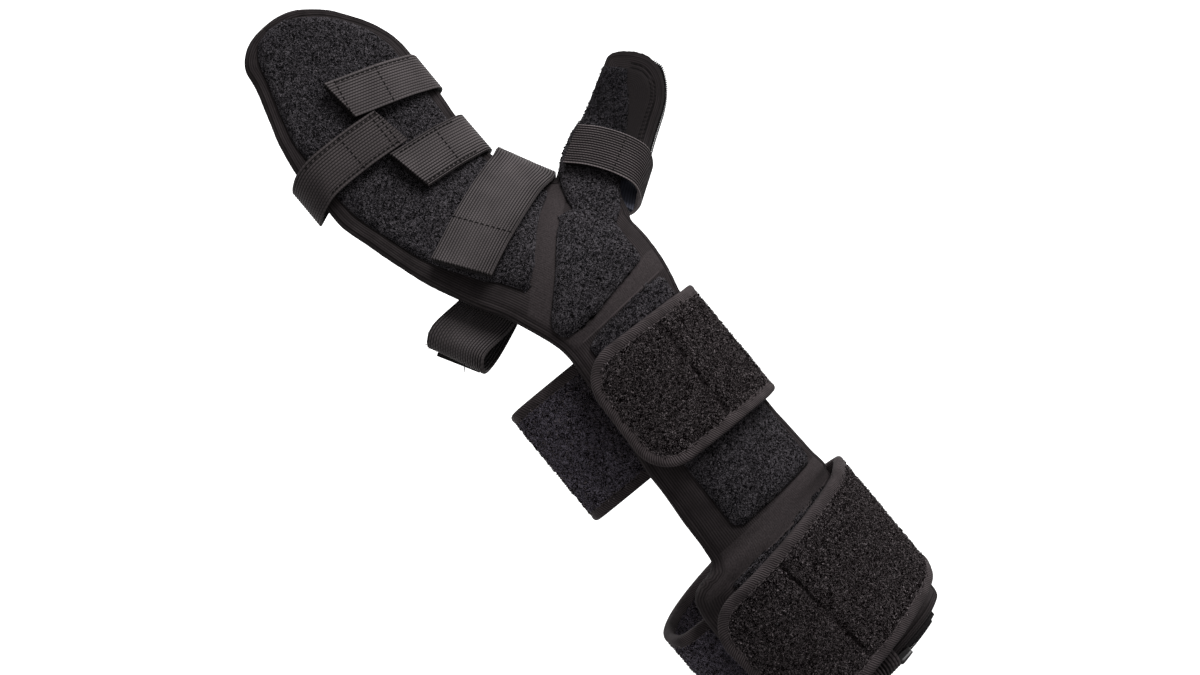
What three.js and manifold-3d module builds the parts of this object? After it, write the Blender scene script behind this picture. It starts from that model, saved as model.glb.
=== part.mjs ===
// Resting hand splint for a right hand: a padded board along the palm side of the fingers, hand and forearm,
// with a thumb trough, sewn-on loop-pile panels, webbing straps with hook tabs and two padded, bound straps.
// Millimetres. The origin is on the lining under the wrist. +X runs to the elbow, +Y to the thumb side and
// +Z out of the palm side of the board, so the arm lies below the board.
import * as THREE from "three";
import { mergeVertices } from "three/addons/utils/BufferGeometryUtils.js";
import Module from "manifold-3d";

const wasm = await Module();
wasm.setup();

// Driving dimensions
const REACH = { tip: -204, elbow: 182.5 }; // ends of the board, along it from the wrist
const GAP = 0.4; // between neighbouring pieces
const LINING = 1.4; // wall of the lining
const PADDING = 6.3; // wall of the padded cover
const PILE = 1.7; // wall of a loop-pile panel
const HOOK = 1.6; // wall of a hook tab
const WEBBING = { wall: 1.5, tips: 18.5, middle: 20.5, palm: 28, thumb: 20 }; // strap wall and widths
const PADDED = { wall: 3.4, binding: 5.5, bead: 4.6, corner: 17 }; // padded straps and their bound edge
const ZIP = { coil: 1.3, edge: 1.8 }; // coil radius, and how far its line stands off the edge
const EDGE = 2.6; // rounding of the cover's edge

// Heights above the skin side of the lining
const COVER_IN = LINING + GAP;
const FACE = COVER_IN + PADDING;
const PILE_IN = FACE + GAP;
const PILE_OUT = PILE_IN + PILE;

// Side profile from the wrist to the fingertips: length along the board and bend towards the palm side, degrees
const PROFILE = [
  { part: "wrist crease", length: 4, bend: 0 },
  { part: "wrist, extended", length: 38, bend: -30 },
  { part: "palm", length: 34, bend: 0 },
  { part: "knuckles, flexed", length: 40, bend: 30 },
  { part: "fingers", length: 42, bend: 0 },
  { part: "fingertips", length: 47, bend: 12 },
];

// Outline and hollow of the board: place along it, the two edges across it, and the radius it is bowed to
const OUTLINE = [
  { s: -204, ulnar: -44, radial: 20, bow: 190 },
  { s: -187, ulnar: -44.8, radial: 22.3, bow: 190 },
  { s: -170, ulnar: -49, radial: 25.2, bow: 190 },
  { s: -156, ulnar: -53, radial: 24, bow: 190 },
  { s: -142, ulnar: -55, radial: 23.5, bow: 190 },
  { s: -118, ulnar: -54.5, radial: 22, bow: 170 },
  { s: -96, ulnar: -50, radial: 23.6, bow: 140 },
  { s: -72, ulnar: -46, radial: 33, bow: 110 },
  { s: -52, ulnar: -41, radial: 39.5, bow: 88 },
  { s: -28, ulnar: -33, radial: 42.5, bow: 68 },
  { s: 0, ulnar: -27, radial: 37.5, bow: 58 },
  { s: 8, ulnar: -27.5, radial: 35.5, bow: 57 },
  { s: 30, ulnar: -29, radial: 35, bow: 54 },
  { s: 60, ulnar: -32, radial: 35.2, bow: 52 },
  { s: 94, ulnar: -33.5, radial: 37.5, bow: 50 },
  { s: 102, ulnar: -34, radial: 39, bow: 50 },
  { s: 105.3, ulnar: -36.5, radial: 40, bow: 50 },
  { s: 107.2, ulnar: -44.5, radial: 40.5, bow: 50 },
  { s: 111, ulnar: -48.5, radial: 41.5, bow: 51 },
  { s: 122, ulnar: -50.5, radial: 43, bow: 53 },
  { s: 180, ulnar: -49, radial: 45, bow: 58 },
];
const TIP_ROUND = { ulnar: 14, radial: 50 }; // length over which each corner of the finger end is rounded
const ELBOW_ROUND = { length: 6, share: 0.07 }; // rounding of the corners at the elbow end

// Loop-pile panels: place along the board and the two sides across it
const PANELS = {
  finger_panel: [
    { s: -201, ulnar: -27, radial: -17 },
    { s: -198, ulnar: -33.5, radial: -10.5 },
    { s: -191, ulnar: -38, radial: 0.5 },
    { s: -183, ulnar: -40, radial: 8.5 },
    { s: -174, ulnar: -42.5, radial: 13.8 },
    { s: -165, ulnar: -45, radial: 16.4 },
    { s: -150, ulnar: -48, radial: 16.4 },
    { s: -122, ulnar: -48, radial: 15.5 },
    { s: -96, ulnar: -43, radial: 17 },
    { s: -72, ulnar: -38, radial: 24 },
    { s: -67, ulnar: -36.5, radial: 24 },
    { s: -56, ulnar: -32, radial: 10 },
    { s: -50, ulnar: -29.5, radial: 2.5 },
    { s: -44, ulnar: -26, radial: -4 },
    { s: -38, ulnar: -23.5, radial: -11 },
    { s: -33, ulnar: -21.5, radial: -18.5 },
  ],
  forearm_panel: [
    { s: -2, ulnar: -14, radial: 28 },
    { s: 2, ulnar: -18, radial: 30 },
    { s: 95.5, ulnar: -19, radial: 30 },
    { s: 98.5, ulnar: -16, radial: 27 },
  ],
  elbow_panel: [
    { s: 111, ulnar: -34, radial: 32 },
    { s: 170, ulnar: -34, radial: 32 },
    { s: 173, ulnar: -31, radial: 29 },
  ],
};

// Pile at the root of the thumb, and the strip of it up the finger side of the trough
const THUMB_PANEL = [
  { s: -50, ulnar: 15, radial: 33.5 },
  { s: -42, ulnar: 6.5, radial: 34.5 },
  { s: -36, ulnar: -0.5, radial: 33.5 },
  { s: -29, ulnar: -8.5, radial: 31 },
  { s: -22, ulnar: -17, radial: 29 },
  { s: -16, ulnar: -23, radial: 28.5 },
  { s: -12.5, ulnar: -24, radial: 27 },
  { s: -9, ulnar: -22.5, radial: 23 },
];
const THUMB_STRIP = [
  { along: 19, low: -7, high: 12 },
  { along: 26, low: -12, high: 12 },
  { along: 34, low: -17, high: 10.5 },
  { along: 44, low: -21.5, high: 8.5 },
  { along: 55, low: -24, high: 6.5 },
  { along: 63, low: -23.5, high: 4.5 },
  { along: 71, low: -19, high: 3 },
  { along: 82, low: -17.2, high: 0.5 },
  { along: 97, low: -16.4, high: -4 },
];

// Thumb trough: distance along its axis, width to each side of the axis, how far the lining goes to the right,
// bowed radius, set-back of the face and height of its skin side
const THUMB_AXIS = {
  base: { s: -33, y: 10 }, // where the axis leaves the board
  bend: { s: -52, y: 40 }, // pull point: the axis leaves the board almost flush with it
  tip: new THREE.Vector3(-86.5, 102.5, -10),
  facing: new THREE.Vector3(0.04, -0.47, 0.88), // the way the outside of the tip looks
};
const THUMB_ROWS = [
  { along: 10, left: 10, right: 19, web: 17, bow: 90, sink: 1.4, skin: 5.5 },
  { along: 22, left: 16, right: 19, web: 17, bow: 60, sink: 0.9, skin: 5.2 },
  { along: 29, left: 20, right: 17, web: 18, bow: 44, sink: 0.6, skin: 4.8 },
  { along: 35, left: 22.5, right: 12.5, web: 19.5, bow: 32, sink: 0.4, skin: 4.3 },
  { along: 42, left: 23.5, right: 9, web: 20.5, bow: 25, sink: 0, skin: 3.3 },
  { along: 50, left: 24.4, right: 11, web: 20.5, bow: 20, sink: 0, skin: 3.3 },
  { along: 58, left: 25, right: 17, web: 18.5, bow: 17.5, sink: 0, skin: 3.3 },
  { along: 64, left: 24, right: 19, web: 17.8, bow: 16.5, sink: 0, skin: 3.3 },
  { along: 71, left: 19.6, right: 19, web: 18.4, bow: 16, sink: 0, skin: 3.3 },
  { along: 107, left: 18, right: 19.6, web: 19.4, bow: 17, sink: 0, skin: 3.3 },
];
const THUMB_ROUND = { left: 5, right: 24 }; // length over which each corner of the thumb end is rounded

// Finishes
const FINISH = {
  knit: { color: 0x1b1a1b, roughness: 0.82 },
  lining: { color: 0x3a3d46, roughness: 0.9 },
  pile: { color: 0x17181d, roughness: 0.97 },
  webbing: { color: 0x2a2927, roughness: 0.72 },
  hook: { color: 0x101010, roughness: 0.8 },
  binding: { color: 0x242323, roughness: 0.75 },
  zip: { color: 0x1a1a1d, roughness: 0.4, metalness: 0.1 },
};

// Smooth value of a column of a table at a place along its key column
function column(rows, key, name, at) {
  const last = rows.length - 1;
  const spot = Math.min(Math.max(at, rows[0][key]), rows[last][key]);
  let i = 0;
  while (i < last - 1 && spot > rows[i + 1][key]) i++;
  const slope = (k) => {
    if (k <= 0 || k >= last) return 0;
    const before = (rows[k][name] - rows[k - 1][name]) / (rows[k][key] - rows[k - 1][key]);
    const after = (rows[k + 1][name] - rows[k][name]) / (rows[k + 1][key] - rows[k][key]);
    return before * after <= 0 ? 0 : (2 * before * after) / (before + after);
  };
  const span = rows[i + 1][key] - rows[i][key];
  const t = (spot - rows[i][key]) / span;
  const rise = t * t * (3 - 2 * t);
  const start = t * (1 - t) * (1 - t) * span * slope(i);
  const end = t * t * (t - 1) * span * slope(i + 1);
  return rows[i][name] * (1 - rise) + rows[i + 1][name] * rise + start + end;
}

// Share of the full width at a distance from a rounded end
function rounded(distance, round) {
  const d = Math.min(Math.max(distance, 0), round);
  return Math.sqrt(1 - (1 - d / round) ** 2);
}

// Centre line of the board's skin side: a point and the angle that it has turned through
function centreLine(s) {
  let x = Math.max(s, 0);
  let z = 0;
  let angle = 0;
  let left = Math.max(-s, 0);
  for (const row of PROFILE) {
    const run = Math.min(left, row.length);
    const curl = THREE.MathUtils.degToRad(row.bend) / row.length;
    const turned = angle + curl * run;
    const chord = curl === 0 ? run : (2 * Math.sin((curl * run) / 2)) / curl;
    const mean = (angle + turned) / 2;
    x -= chord * Math.cos(mean);
    z += chord * Math.sin(mean);
    angle = turned;
    left -= run;
  }
  return { x, z, angle };
}

// Frame of a cross-section: its middle, the way out of the palm side and the way to the elbow
function section(s) {
  const { x, z, angle } = centreLine(s);
  return {
    middle: new THREE.Vector3(x, 0, z),
    out: new THREE.Vector3(Math.sin(angle), 0, Math.cos(angle)),
    along: new THREE.Vector3(Math.cos(angle), 0, -Math.sin(angle)),
  };
}

// A point of a cross-section, across and out from the middle of the lining
function inSection(s, across, out) {
  const frame = section(s);
  const p = frame.middle.clone().addScaledVector(frame.out, out);
  p.y += across;
  return p;
}

// Edges of the board at a place along it, with its ends rounded
function edges(s) {
  const ulnar = column(OUTLINE, "s", "ulnar", s);
  const radial = column(OUTLINE, "s", "radial", s);
  const spine = -21; // line that the finger end closes on
  const elbow = 1 - (1 - rounded(REACH.elbow - s, ELBOW_ROUND.length)) * ELBOW_ROUND.share;
  return {
    ulnar: (spine + (ulnar - spine) * rounded(s - REACH.tip, TIP_ROUND.ulnar)) * elbow,
    radial: (spine + (radial - spine) * rounded(s - REACH.tip, TIP_ROUND.radial)) * elbow,
  };
}

// A point on the bowed board: y is where it would be across the outer face, and height is above the skin side
function onBoard(s, y, height) {
  const bow = column(OUTLINE, "s", "bow", s);
  const centre = (column(OUTLINE, "s", "ulnar", s) + column(OUTLINE, "s", "radial", s)) / 2;
  const turn = Math.asin(THREE.MathUtils.clamp((y - centre) / (bow + FACE), -1, 1));
  return inSection(s, centre + (bow + height) * Math.sin(turn), (bow + height) * Math.cos(turn) - bow);
}

// Closed solid through rings of points: rings join in order and the two ends are capped
function loft(rings) {
  const count = rings[0].length;
  const points = rings.flat();
  const faces = [];
  for (let i = 0; i + 1 < rings.length; i++)
    for (let j = 0; j < count; j++) {
      const a = i * count + j;
      const b = i * count + ((j + 1) % count);
      faces.push(a, b, b + count, a, b + count, a + count);
    }
  const half = count / 2;
  const far = (rings.length - 1) * count;
  for (let j = 0; j + 1 < half; j++) {
    const k = count - 1 - j;
    faces.push(j, k, k - 1, j, k - 1, j + 1);
    faces.push(far + j, far + k - 1, far + k, far + j, far + j + 1, far + k - 1);
  }
  const geometry = new THREE.BufferGeometry().setFromPoints(points);
  geometry.setIndex(faces);
  return solid(geometry).volume() < 0 ? flipped(geometry) : geometry;
}

function flipped(geometry) {
  const index = geometry.index.array;
  for (let i = 0; i < index.length; i += 3) [index[i + 1], index[i + 2]] = [index[i + 2], index[i + 1]];
  return geometry;
}

function toMesh(geometry) {
  const merged = mergeVertices(geometry, 1e-4);
  return new wasm.Mesh({
    numProp: 3,
    vertProperties: merged.getAttribute("position").array,
    triVerts: new Uint32Array(merged.index.array),
  });
}

const solid = (geometry) => new wasm.Manifold(toMesh(geometry));

function fromSolid(shape) {
  const mesh = shape.getMesh();
  const geometry = new THREE.BufferGeometry();
  geometry.setAttribute("position", new THREE.BufferAttribute(mesh.vertProperties, 3));
  geometry.setIndex(new THREE.BufferAttribute(mesh.triVerts, 1));
  return geometry;
}

function steps(from, to, count) {
  return Array.from({ length: count + 1 }, (_, i) => from + ((to - from) * i) / count);
}

// Ring of a sheet's cross-section: place(across, height) from one side to the other on top, and back below
function sheetRing(place, low, high, bottom, top, count) {
  const across = steps(low, high, count);
  return [...across.map((y) => place(y, top)), ...across.reverse().map((y) => place(y, bottom))];
}

// Ring of a padded sheet, with both edges rolled round
function paddedRing(place, low, high, bottom, top, count) {
  const inset = Math.min(EDGE, (high - low) / 4);
  const middle = (bottom + top) / 2;
  const lift = (top - bottom) * 0.3;
  const across = steps(low + inset, high - inset, count);
  return [
    place(low, middle),
    place(low + inset * 0.3, middle + lift),
    ...across.map((y) => place(y, top)),
    place(high - inset * 0.3, middle + lift),
    place(high, middle),
    place(high - inset * 0.3, middle - lift),
    ...across.reverse().map((y) => place(y, bottom)),
    place(low + inset * 0.3, middle - lift),
  ];
}

// Places along the board where the cover and the lining have a section
const ROUND_STEPS = [0.4, 1.5, 3.5, 6.5, 10, 15, 21, 28];
const STATIONS = [
  ...ROUND_STEPS.map((d) => REACH.tip + d),
  ...steps(-168, 96, 22),
  ...OUTLINE.filter((row) => row.s > 100 && row.s < 130).map((row) => row.s),
  ...steps(134, 164, 2),
  ...[10, 6, 3, 1, 0.2].map((d) => REACH.elbow - d),
];

// Cover of the board, or one grown out by a distance, with its skin side lifted
function boardSolid(grow = 0, lift = 0) {
  return loft(
    STATIONS.map((s) => {
      const { ulnar, radial } = edges(s);
      const skin = COVER_IN + lift;
      return paddedRing((y, h) => onBoard(s, y, h), ulnar - grow, radial + grow, skin, FACE + grow, 8);
    }),
  );
}

function liningSolid() {
  const hem = 2.5; // the lining stops short of the edge
  const inside = STATIONS.filter((s) => s > REACH.tip + hem && s < REACH.elbow - hem);
  return loft(
    inside.map((s) => {
      const { ulnar, radial } = edges(s);
      return sheetRing((y, h) => onBoard(s, y, h), ulnar + hem, radial - hem, 0, LINING, 6);
    }),
  );
}

function panelSolid(rows) {
  const first = rows[0].s;
  const last = rows[rows.length - 1].s;
  const between = STATIONS.filter((s) => s > first + 1 && s < last - 1);
  const corners = rows.map((row) => row.s).filter((s) => between.every((near) => Math.abs(near - s) > 1.5));
  return loft(
    [...between, ...corners].sort((a, b) => a - b).map((s) => {
      const ulnar = column(rows, "s", "ulnar", s);
      const radial = column(rows, "s", "radial", s);
      return sheetRing((y, h) => onBoard(s, y, h), ulnar, radial, PILE_IN, PILE_OUT, 6);
    }),
  );
}

// Thumb trough
const thumbCurve = new THREE.QuadraticBezierCurve3(
  onBoard(THUMB_AXIS.base.s, THUMB_AXIS.base.y, FACE),
  onBoard(THUMB_AXIS.bend.s, THUMB_AXIS.bend.y, FACE),
  THUMB_AXIS.tip,
);
const THUMB_LENGTH = thumbCurve.getLength();

// Frame of the trough at a distance along its axis
function thumbFrame(along) {
  const share = THREE.MathUtils.clamp(along / THUMB_LENGTH, 0, 1);
  const forward = thumbCurve.getTangentAt(share);
  const ease = share * share * (3 - 2 * share);
  const out = section(THUMB_AXIS.base.s).out.lerp(THUMB_AXIS.facing, ease);
  out.addScaledVector(forward, -out.dot(forward)).normalize();
  const right = new THREE.Vector3().crossVectors(forward, out);
  return { axis: thumbCurve.getPointAt(share), forward, out, right };
}

// A point of a cross-section of the trough, across and out from the middle of its outer face
function inThumb(along, across, out) {
  const frame = thumbFrame(along);
  return frame.axis.addScaledVector(frame.right, across).addScaledVector(frame.out, out);
}

// A point on the bowed trough: side is across the outer face, to the left when negative; height as on the board
function onThumb(along, side, height) {
  const bow = column(THUMB_ROWS, "along", "bow", along);
  const turn = side / (bow + FACE);
  const radius = bow + height - column(THUMB_ROWS, "along", "sink", along);
  return inThumb(along, radius * Math.sin(turn), radius * Math.cos(turn) - bow - FACE);
}

function thumbEdges(along) {
  const end = THUMB_LENGTH - along;
  return {
    left: -column(THUMB_ROWS, "along", "left", along) * rounded(end, THUMB_ROUND.left),
    right: column(THUMB_ROWS, "along", "right", along) * rounded(end, THUMB_ROUND.right),
  };
}

const THUMB_STATIONS = [
  ...steps(10, THUMB_LENGTH - 26, 12),
  ...[19, 13, 8, 5, 3, 1.2, 0.3].map((d) => THUMB_LENGTH - d),
];

function thumbSolid(grow = 0, lift = 0) {
  return loft(
    THUMB_STATIONS.map((along) => {
      const { left, right } = thumbEdges(along);
      const skin = column(THUMB_ROWS, "along", "skin", along) + lift;
      return paddedRing((y, h) => onThumb(along, y, h), left - grow, right + grow, skin, FACE + grow, 8);
    }),
  );
}

// Lining of the thumb trough, from where it clears the board to near its tip; at the root it passes the cover
function thumbLiningSolid() {
  const hem = 1.2;
  const clear = 43;
  const inside = THUMB_STATIONS.filter((along) => along < THUMB_LENGTH - 2.5 && along > clear + 2);
  return loft(
    [clear, ...inside].map((along) => {
      const { left } = thumbEdges(along);
      const web = column(THUMB_ROWS, "along", "web", along) * rounded(THUMB_LENGTH - along, THUMB_ROUND.right);
      const top = column(THUMB_ROWS, "along", "skin", along) - GAP;
      return sheetRing((y, h) => onThumb(along, y, h), left + hem, web, top - LINING, top, 6);
    }),
  );
}

// Pile at the root of the thumb, cut to make room for the trough
function thumbPanelSolid() {
  return fromSolid(solid(panelSolid(THUMB_PANEL)).subtract(solid(thumbSolid(PILE + 2 * GAP))));
}

// Pile strip on the trough, from where the trough rises out of the board
function thumbStripSolid() {
  const first = THUMB_STRIP[0].along;
  const last = THUMB_STRIP[THUMB_STRIP.length - 1].along;
  const between = THUMB_STATIONS.filter((along) => along > first + 1 && along < last - 1);
  const strip = loft(
    [first, ...between, last].map((along) => {
      const low = column(THUMB_STRIP, "along", "low", along);
      const high = column(THUMB_STRIP, "along", "high", along);
      return sheetRing((y, h) => onThumb(along, y, h), low, high, PILE_IN, PILE_OUT, 5);
    }),
  );
  return fromSolid(solid(strip).subtract(solid(boardSolid(GAP))));
}

// Straps: a route of points with the way along the limb at each, as a smooth ribbon
function ribbon(route) {
  const curve = new THREE.CatmullRomCurve3(route.map((stop) => stop.point), false, "centripetal");
  curve.arcLengthDivisions = 600;
  const length = curve.getLength();
  const marks = route.map((stop, i) => ({ at: i / (route.length - 1), limb: stop.limb }));
  const frameAt = (u) => {
    const share = THREE.MathUtils.clamp(u / length, 0, 1);
    const t = curve.getUtoTmapping(share);
    const slot = Math.min(Math.floor(t * (marks.length - 1)), marks.length - 2);
    const mix = t * (marks.length - 1) - slot;
    const forward = curve.getTangent(t);
    const limb = marks[slot].limb.clone().lerp(marks[slot + 1].limb, mix);
    const wide = limb.addScaledVector(forward, -limb.dot(forward)).normalize();
    return { point: curve.getPoint(t), forward, wide, out: new THREE.Vector3().crossVectors(wide, forward) };
  };
  const at = (u, v, w) => {
    const frame = frameAt(u);
    const spill = u < 0 ? u : Math.max(u - length, 0);
    const p = frame.point.addScaledVector(frame.wide, v).addScaledVector(frame.out, w);
    return p.addScaledVector(frame.forward, spill);
  };
  return { length, at };
}

// Stops of a route: on the board's face, on the thumb trough, or out in a cross-section round the limb
const faceStop = (s, y, height) => ({ point: onBoard(s, y, height), limb: section(s).along });
const limbStop = (s, across, out, lean = 0) => ({
  point: inSection(s, across, out),
  limb: section(s).along.add(new THREE.Vector3(0, lean, 0)),
});
const thumbStop = (along, side, height) => ({
  point: onThumb(along, side, height),
  limb: thumbFrame(along).forward,
});
const digitStop = (along, across, out) => ({
  point: inThumb(along, across, out),
  limb: thumbFrame(along).forward,
});
const endStop = (s, y, height) => ({ point: onBoard(s, y, height), limb: new THREE.Vector3(0, 1, 0) });

// Flat webbing of one width along a ribbon
const webbingCount = (path) => Math.round(path.length / 4.5);
function webbingSolid(path, width) {
  const half = WEBBING.wall / 2;
  return loft(
    steps(0, path.length, webbingCount(path)).map((u) =>
      sheetRing((v, w) => path.at(u, v, w), -width / 2, width / 2, -half, half, 1),
    ),
  );
}

// Hook tab on one face of a strap: on its inner face when side is -1
function hookSolid(path, from, to, width, wall, side = -1, count = 6) {
  const near = side * (wall / 2 + GAP);
  const far = near + side * HOOK;
  return loft(
    steps(from, to, count).map((u) =>
      sheetRing((v, w) => path.at(u, v, w), -width / 2, width / 2, Math.min(near, far), Math.max(near, far), 1),
    ),
  );
}

// Padded strap: half width at a distance along it, with the free end rounded
function paddedHalf(u, width, corner) {
  return width / 2 - corner * (1 - rounded(u, corner));
}

function paddedStrapSolid(path, width) {
  const body = width - 2 * PADDED.binding;
  const corner = PADDED.corner - PADDED.binding;
  const start = PADDED.binding;
  const half = PADDED.wall / 2;
  const round = [0.3, 1.5, 4, 7.5].map((d) => start + d);
  const rest = steps(start + corner, path.length, Math.round(path.length / 9));
  return loft(
    [...round, ...rest].map((u) => {
      const side = paddedHalf(u - start, body, corner);
      return sheetRing((v, w) => path.at(u, v, w), -side, side, -half, half, 1);
    }),
  );
}

// Binding round the edge of a padded strap: up one side, round the free end and down the other side
function bindingSolid(path, width) {
  const inset = (PADDED.binding - GAP) / 2;
  const corner = PADDED.corner - inset;
  const side = width / 2 - inset;
  const line = [];
  for (const u of steps(path.length, inset + corner, Math.round(path.length / 9)))
    line.push({ u, v: -side, turn: -Math.PI / 2 });
  for (const turn of steps(-Math.PI / 2, 0, 7).slice(1))
    line.push({ u: inset + corner * (1 - Math.cos(turn)), v: -side + corner * (1 + Math.sin(turn)), turn });
  const mirrored = [...line].reverse().map(({ u, v, turn }) => ({ u, v: -v, turn: -turn }));
  const bead = PADDED.bead / 2;
  const ring = ({ u, v, turn }) => {
    const spot = (offset, w) => path.at(u - offset * Math.cos(turn), v + offset * Math.sin(turn), w);
    const rim = inset * 0.6;
    return [
      spot(-inset, bead * 0.9),
      spot(rim, bead),
      spot(inset, bead * 0.45),
      spot(inset, -bead * 0.45),
      spot(rim, -bead),
      spot(-inset, -bead * 0.9),
    ];
  };
  return loft([...line, ...mirrored].map(ring));
}

// Zip coil: a round cord along a line of points
function cordSolid(points, radius) {
  const section = new THREE.Shape().absarc(0, 0, radius, 0, Math.PI * 2);
  const shape = new THREE.Shape(section.getPoints(4).slice(0, 8));
  return solidGeometry(
    new THREE.ExtrudeGeometry(shape, {
      steps: points.length * 2,
      extrudePath: new THREE.CatmullRomCurve3(points),
      bevelEnabled: false,
    }),
  );
}

function solidGeometry(geometry) {
  geometry.deleteAttribute("normal");
  geometry.deleteAttribute("uv");
  return mergeVertices(geometry, 1e-4);
}

// Routes of the straps
const SETTLE = 0.8; // straight webbing bridges the hollows of the bent face
const STRAP_MID = PILE_OUT + GAP + HOOK + GAP + WEBBING.wall / 2 + SETTLE; // middle of webbing on its hook tab
const STRAP_LOW = PILE_OUT + GAP + WEBBING.wall / 2 + SETTLE; // middle of webbing lying on the board
const STRAP_IN = -GAP - WEBBING.wall / 2 - 2; // middle of webbing sewn on the lining
const PAD_MID = PILE_OUT + GAP + HOOK + GAP + PADDED.wall / 2 + SETTLE;
const PAD_IN = -GAP - PADDED.bead / 2 - 1.3; // middle of a padded strap sewn on the lining

const routes = {
  // Round the fingers, with both ends on the face
  finger_strap_distal: ribbon([
    faceStop(-158, -21.9, STRAP_MID + 1),
    faceStop(-152, 2, STRAP_MID),
    faceStop(-149, 13, STRAP_LOW),
    faceStop(-147.6, 20, STRAP_LOW - 1.6),
    limbStop(-147, 24.6, 1.5),
    limbStop(-147, 24.6, -8),
    limbStop(-146, 16, -20),
    limbStop(-142, -15, -25),
    limbStop(-136, -44, -21),
    limbStop(-130.5, -56.4, -9),
    limbStop(-131.5, -57, 2),
    faceStop(-134, -50.5, STRAP_LOW + 0.4),
    faceStop(-135.2, -32, STRAP_MID),
    faceStop(-135.2, -11.5, STRAP_MID),
  ]),
  // Round the fingers from the lining beside the little finger
  finger_strap_middle: ribbon([
    faceStop(-114.3, -18.2, STRAP_MID + 1.2),
    faceStop(-113.5, 3, STRAP_MID),
    faceStop(-113, 12.5, STRAP_LOW + 0.5),
    faceStop(-112.7, 18.8, STRAP_LOW - 0.8),
    limbStop(-112.5, 24, 1.5),
    limbStop(-112.5, 24, -9),
    limbStop(-113, 14, -21),
    limbStop(-113, -12, -25),
    limbStop(-113, -27, -20),
    limbStop(-113, -33, -10),
    faceStop(-113, -37, STRAP_IN - 0.6),
    faceStop(-113, -47, STRAP_IN),
  ]),
  // From the lining at the edge of the palm, across the back of the hand and through the web of the thumb
  palm_strap: ribbon([
    faceStop(-57.5, -32, STRAP_MID + 1.4),
    faceStop(-66.2, -12, STRAP_MID),
    faceStop(-76.6, 12, STRAP_MID),
    faceStop(-82, 24, STRAP_MID - 0.5),
    limbStop(-86.5, 31, 3.5, 0.37),
    limbStop(-86.5, 32, -9, 0.37),
    limbStop(-83, 25, -24, 0.3),
    limbStop(-65, -8, -31, 0.2),
    limbStop(-49, -42, -29, 0.25),
    limbStop(-42.8, -54.5, -20, 0.22),
    limbStop(-44.5, -52, -13.5, 0.22),
    faceStop(-46.8, -37, STRAP_IN - 2.2),
    faceStop(-48, -24, STRAP_IN - 1),
    faceStop(-48, -14, STRAP_IN - 1),
  ]),
  // Round the thumb and its trough
  thumb_strap: ribbon([
    thumbStop(52.5, -15, STRAP_MID + 0.2),
    thumbStop(52, -6, STRAP_MID),
    thumbStop(51.5, 4, STRAP_MID),
    thumbStop(51, 12, STRAP_MID - 0.5),
    digitStop(50.5, 17.6, -4),
    digitStop(50, 18.6, -12),
    digitStop(50, 15.5, -22),
    digitStop(50, 8, -29),
    digitStop(50, -3, -30),
    digitStop(50.5, -11.5, -26),
    digitStop(51, -14, -18),
    digitStop(51.5, -11.5, -13),
    digitStop(52, -8, -10.6),
    digitStop(52, -3, -9),
  ]),
};

// Padded straps: width, place along the arm, lean of the free end, free end across, room and flare at the edge
// of the board, and the loop round the arm, which moves along the arm by the shift and is sewn on the lining
const PADDED_ROUTES = {
  wrist_strap: {
    ...{ width: 58, s: 36.5, lean: 0.045, shift: -5.5, end: -28.5, ease: 0, flare: 0 },
    ...{ centre: -6, depth: -29, wide: 42, deep: 33, tuck: -12 },
  },
  forearm_strap: {
    ...{ width: 63.5, s: 138.5, lean: -0.12, shift: 13, end: -47, ease: 2.8, flare: 0.15 },
    ...{ centre: -3.5, depth: -33, wide: 51.5, deep: 42, tuck: -26 },
  },
};

function paddedRoute({ s, lean, shift, end, ease, flare, centre, depth, wide, deep, tuck }) {
  const over = edges(s).radial;
  const place = (y) => s + lean * (y - over);
  const face = steps(end, over - 16, 4).map((y) => faceStop(place(y), y, PAD_MID));
  const turning = [faceStop(s, over - 7, PAD_MID - 1.2), faceStop(s, over - 0.5, PAD_MID - 3.4)];
  const rim = onBoard(s, over, FACE - PADDING / 2);
  const side = limbStop(s, rim.y + PADDED.bead / 2 + 2 * GAP + ease, rim.z - 4, flare);
  const loop = steps(0, 10, 10).map((i) => {
    const turn = THREE.MathUtils.degToRad(5 - 19.2 * i);
    const lie = flare * (1 - i / 10);
    return limbStop(s + shift * (i / 10), centre + wide * Math.cos(turn), depth + deep * Math.sin(turn), lie);
  });
  const inner = steps(edges(s + shift).ulnar + 6, tuck, 3).map((y) => faceStop(s + shift, y, PAD_IN));
  return ribbon([...face, ...turning, side, ...loop, ...inner]);
}
for (const [name, row] of Object.entries(PADDED_ROUTES)) routes[name] = paddedRoute(row);

// Assembly
const splint = new THREE.Group();
splint.name = "resting_hand_splint";

function add(name, geometry, finish) {
  const material = new THREE.MeshStandardMaterial({ metalness: 0, ...FINISH[finish] });
  geometry.computeVertexNormals();
  const mesh = new THREE.Mesh(geometry, material);
  mesh.name = name;
  splint.add(mesh);
}

add("board_cover", fromSolid(solid(boardSolid()).add(solid(thumbSolid()))), "knit");
add("lining", liningSolid(), "lining");
add("thumb_lining", thumbLiningSolid(), "lining");
for (const [name, rows] of Object.entries(PANELS)) add(name, panelSolid(rows), "pile");
add("thumb_panel", thumbPanelSolid(), "pile");
add("thumb_strip", thumbStripSolid(), "pile");

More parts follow.
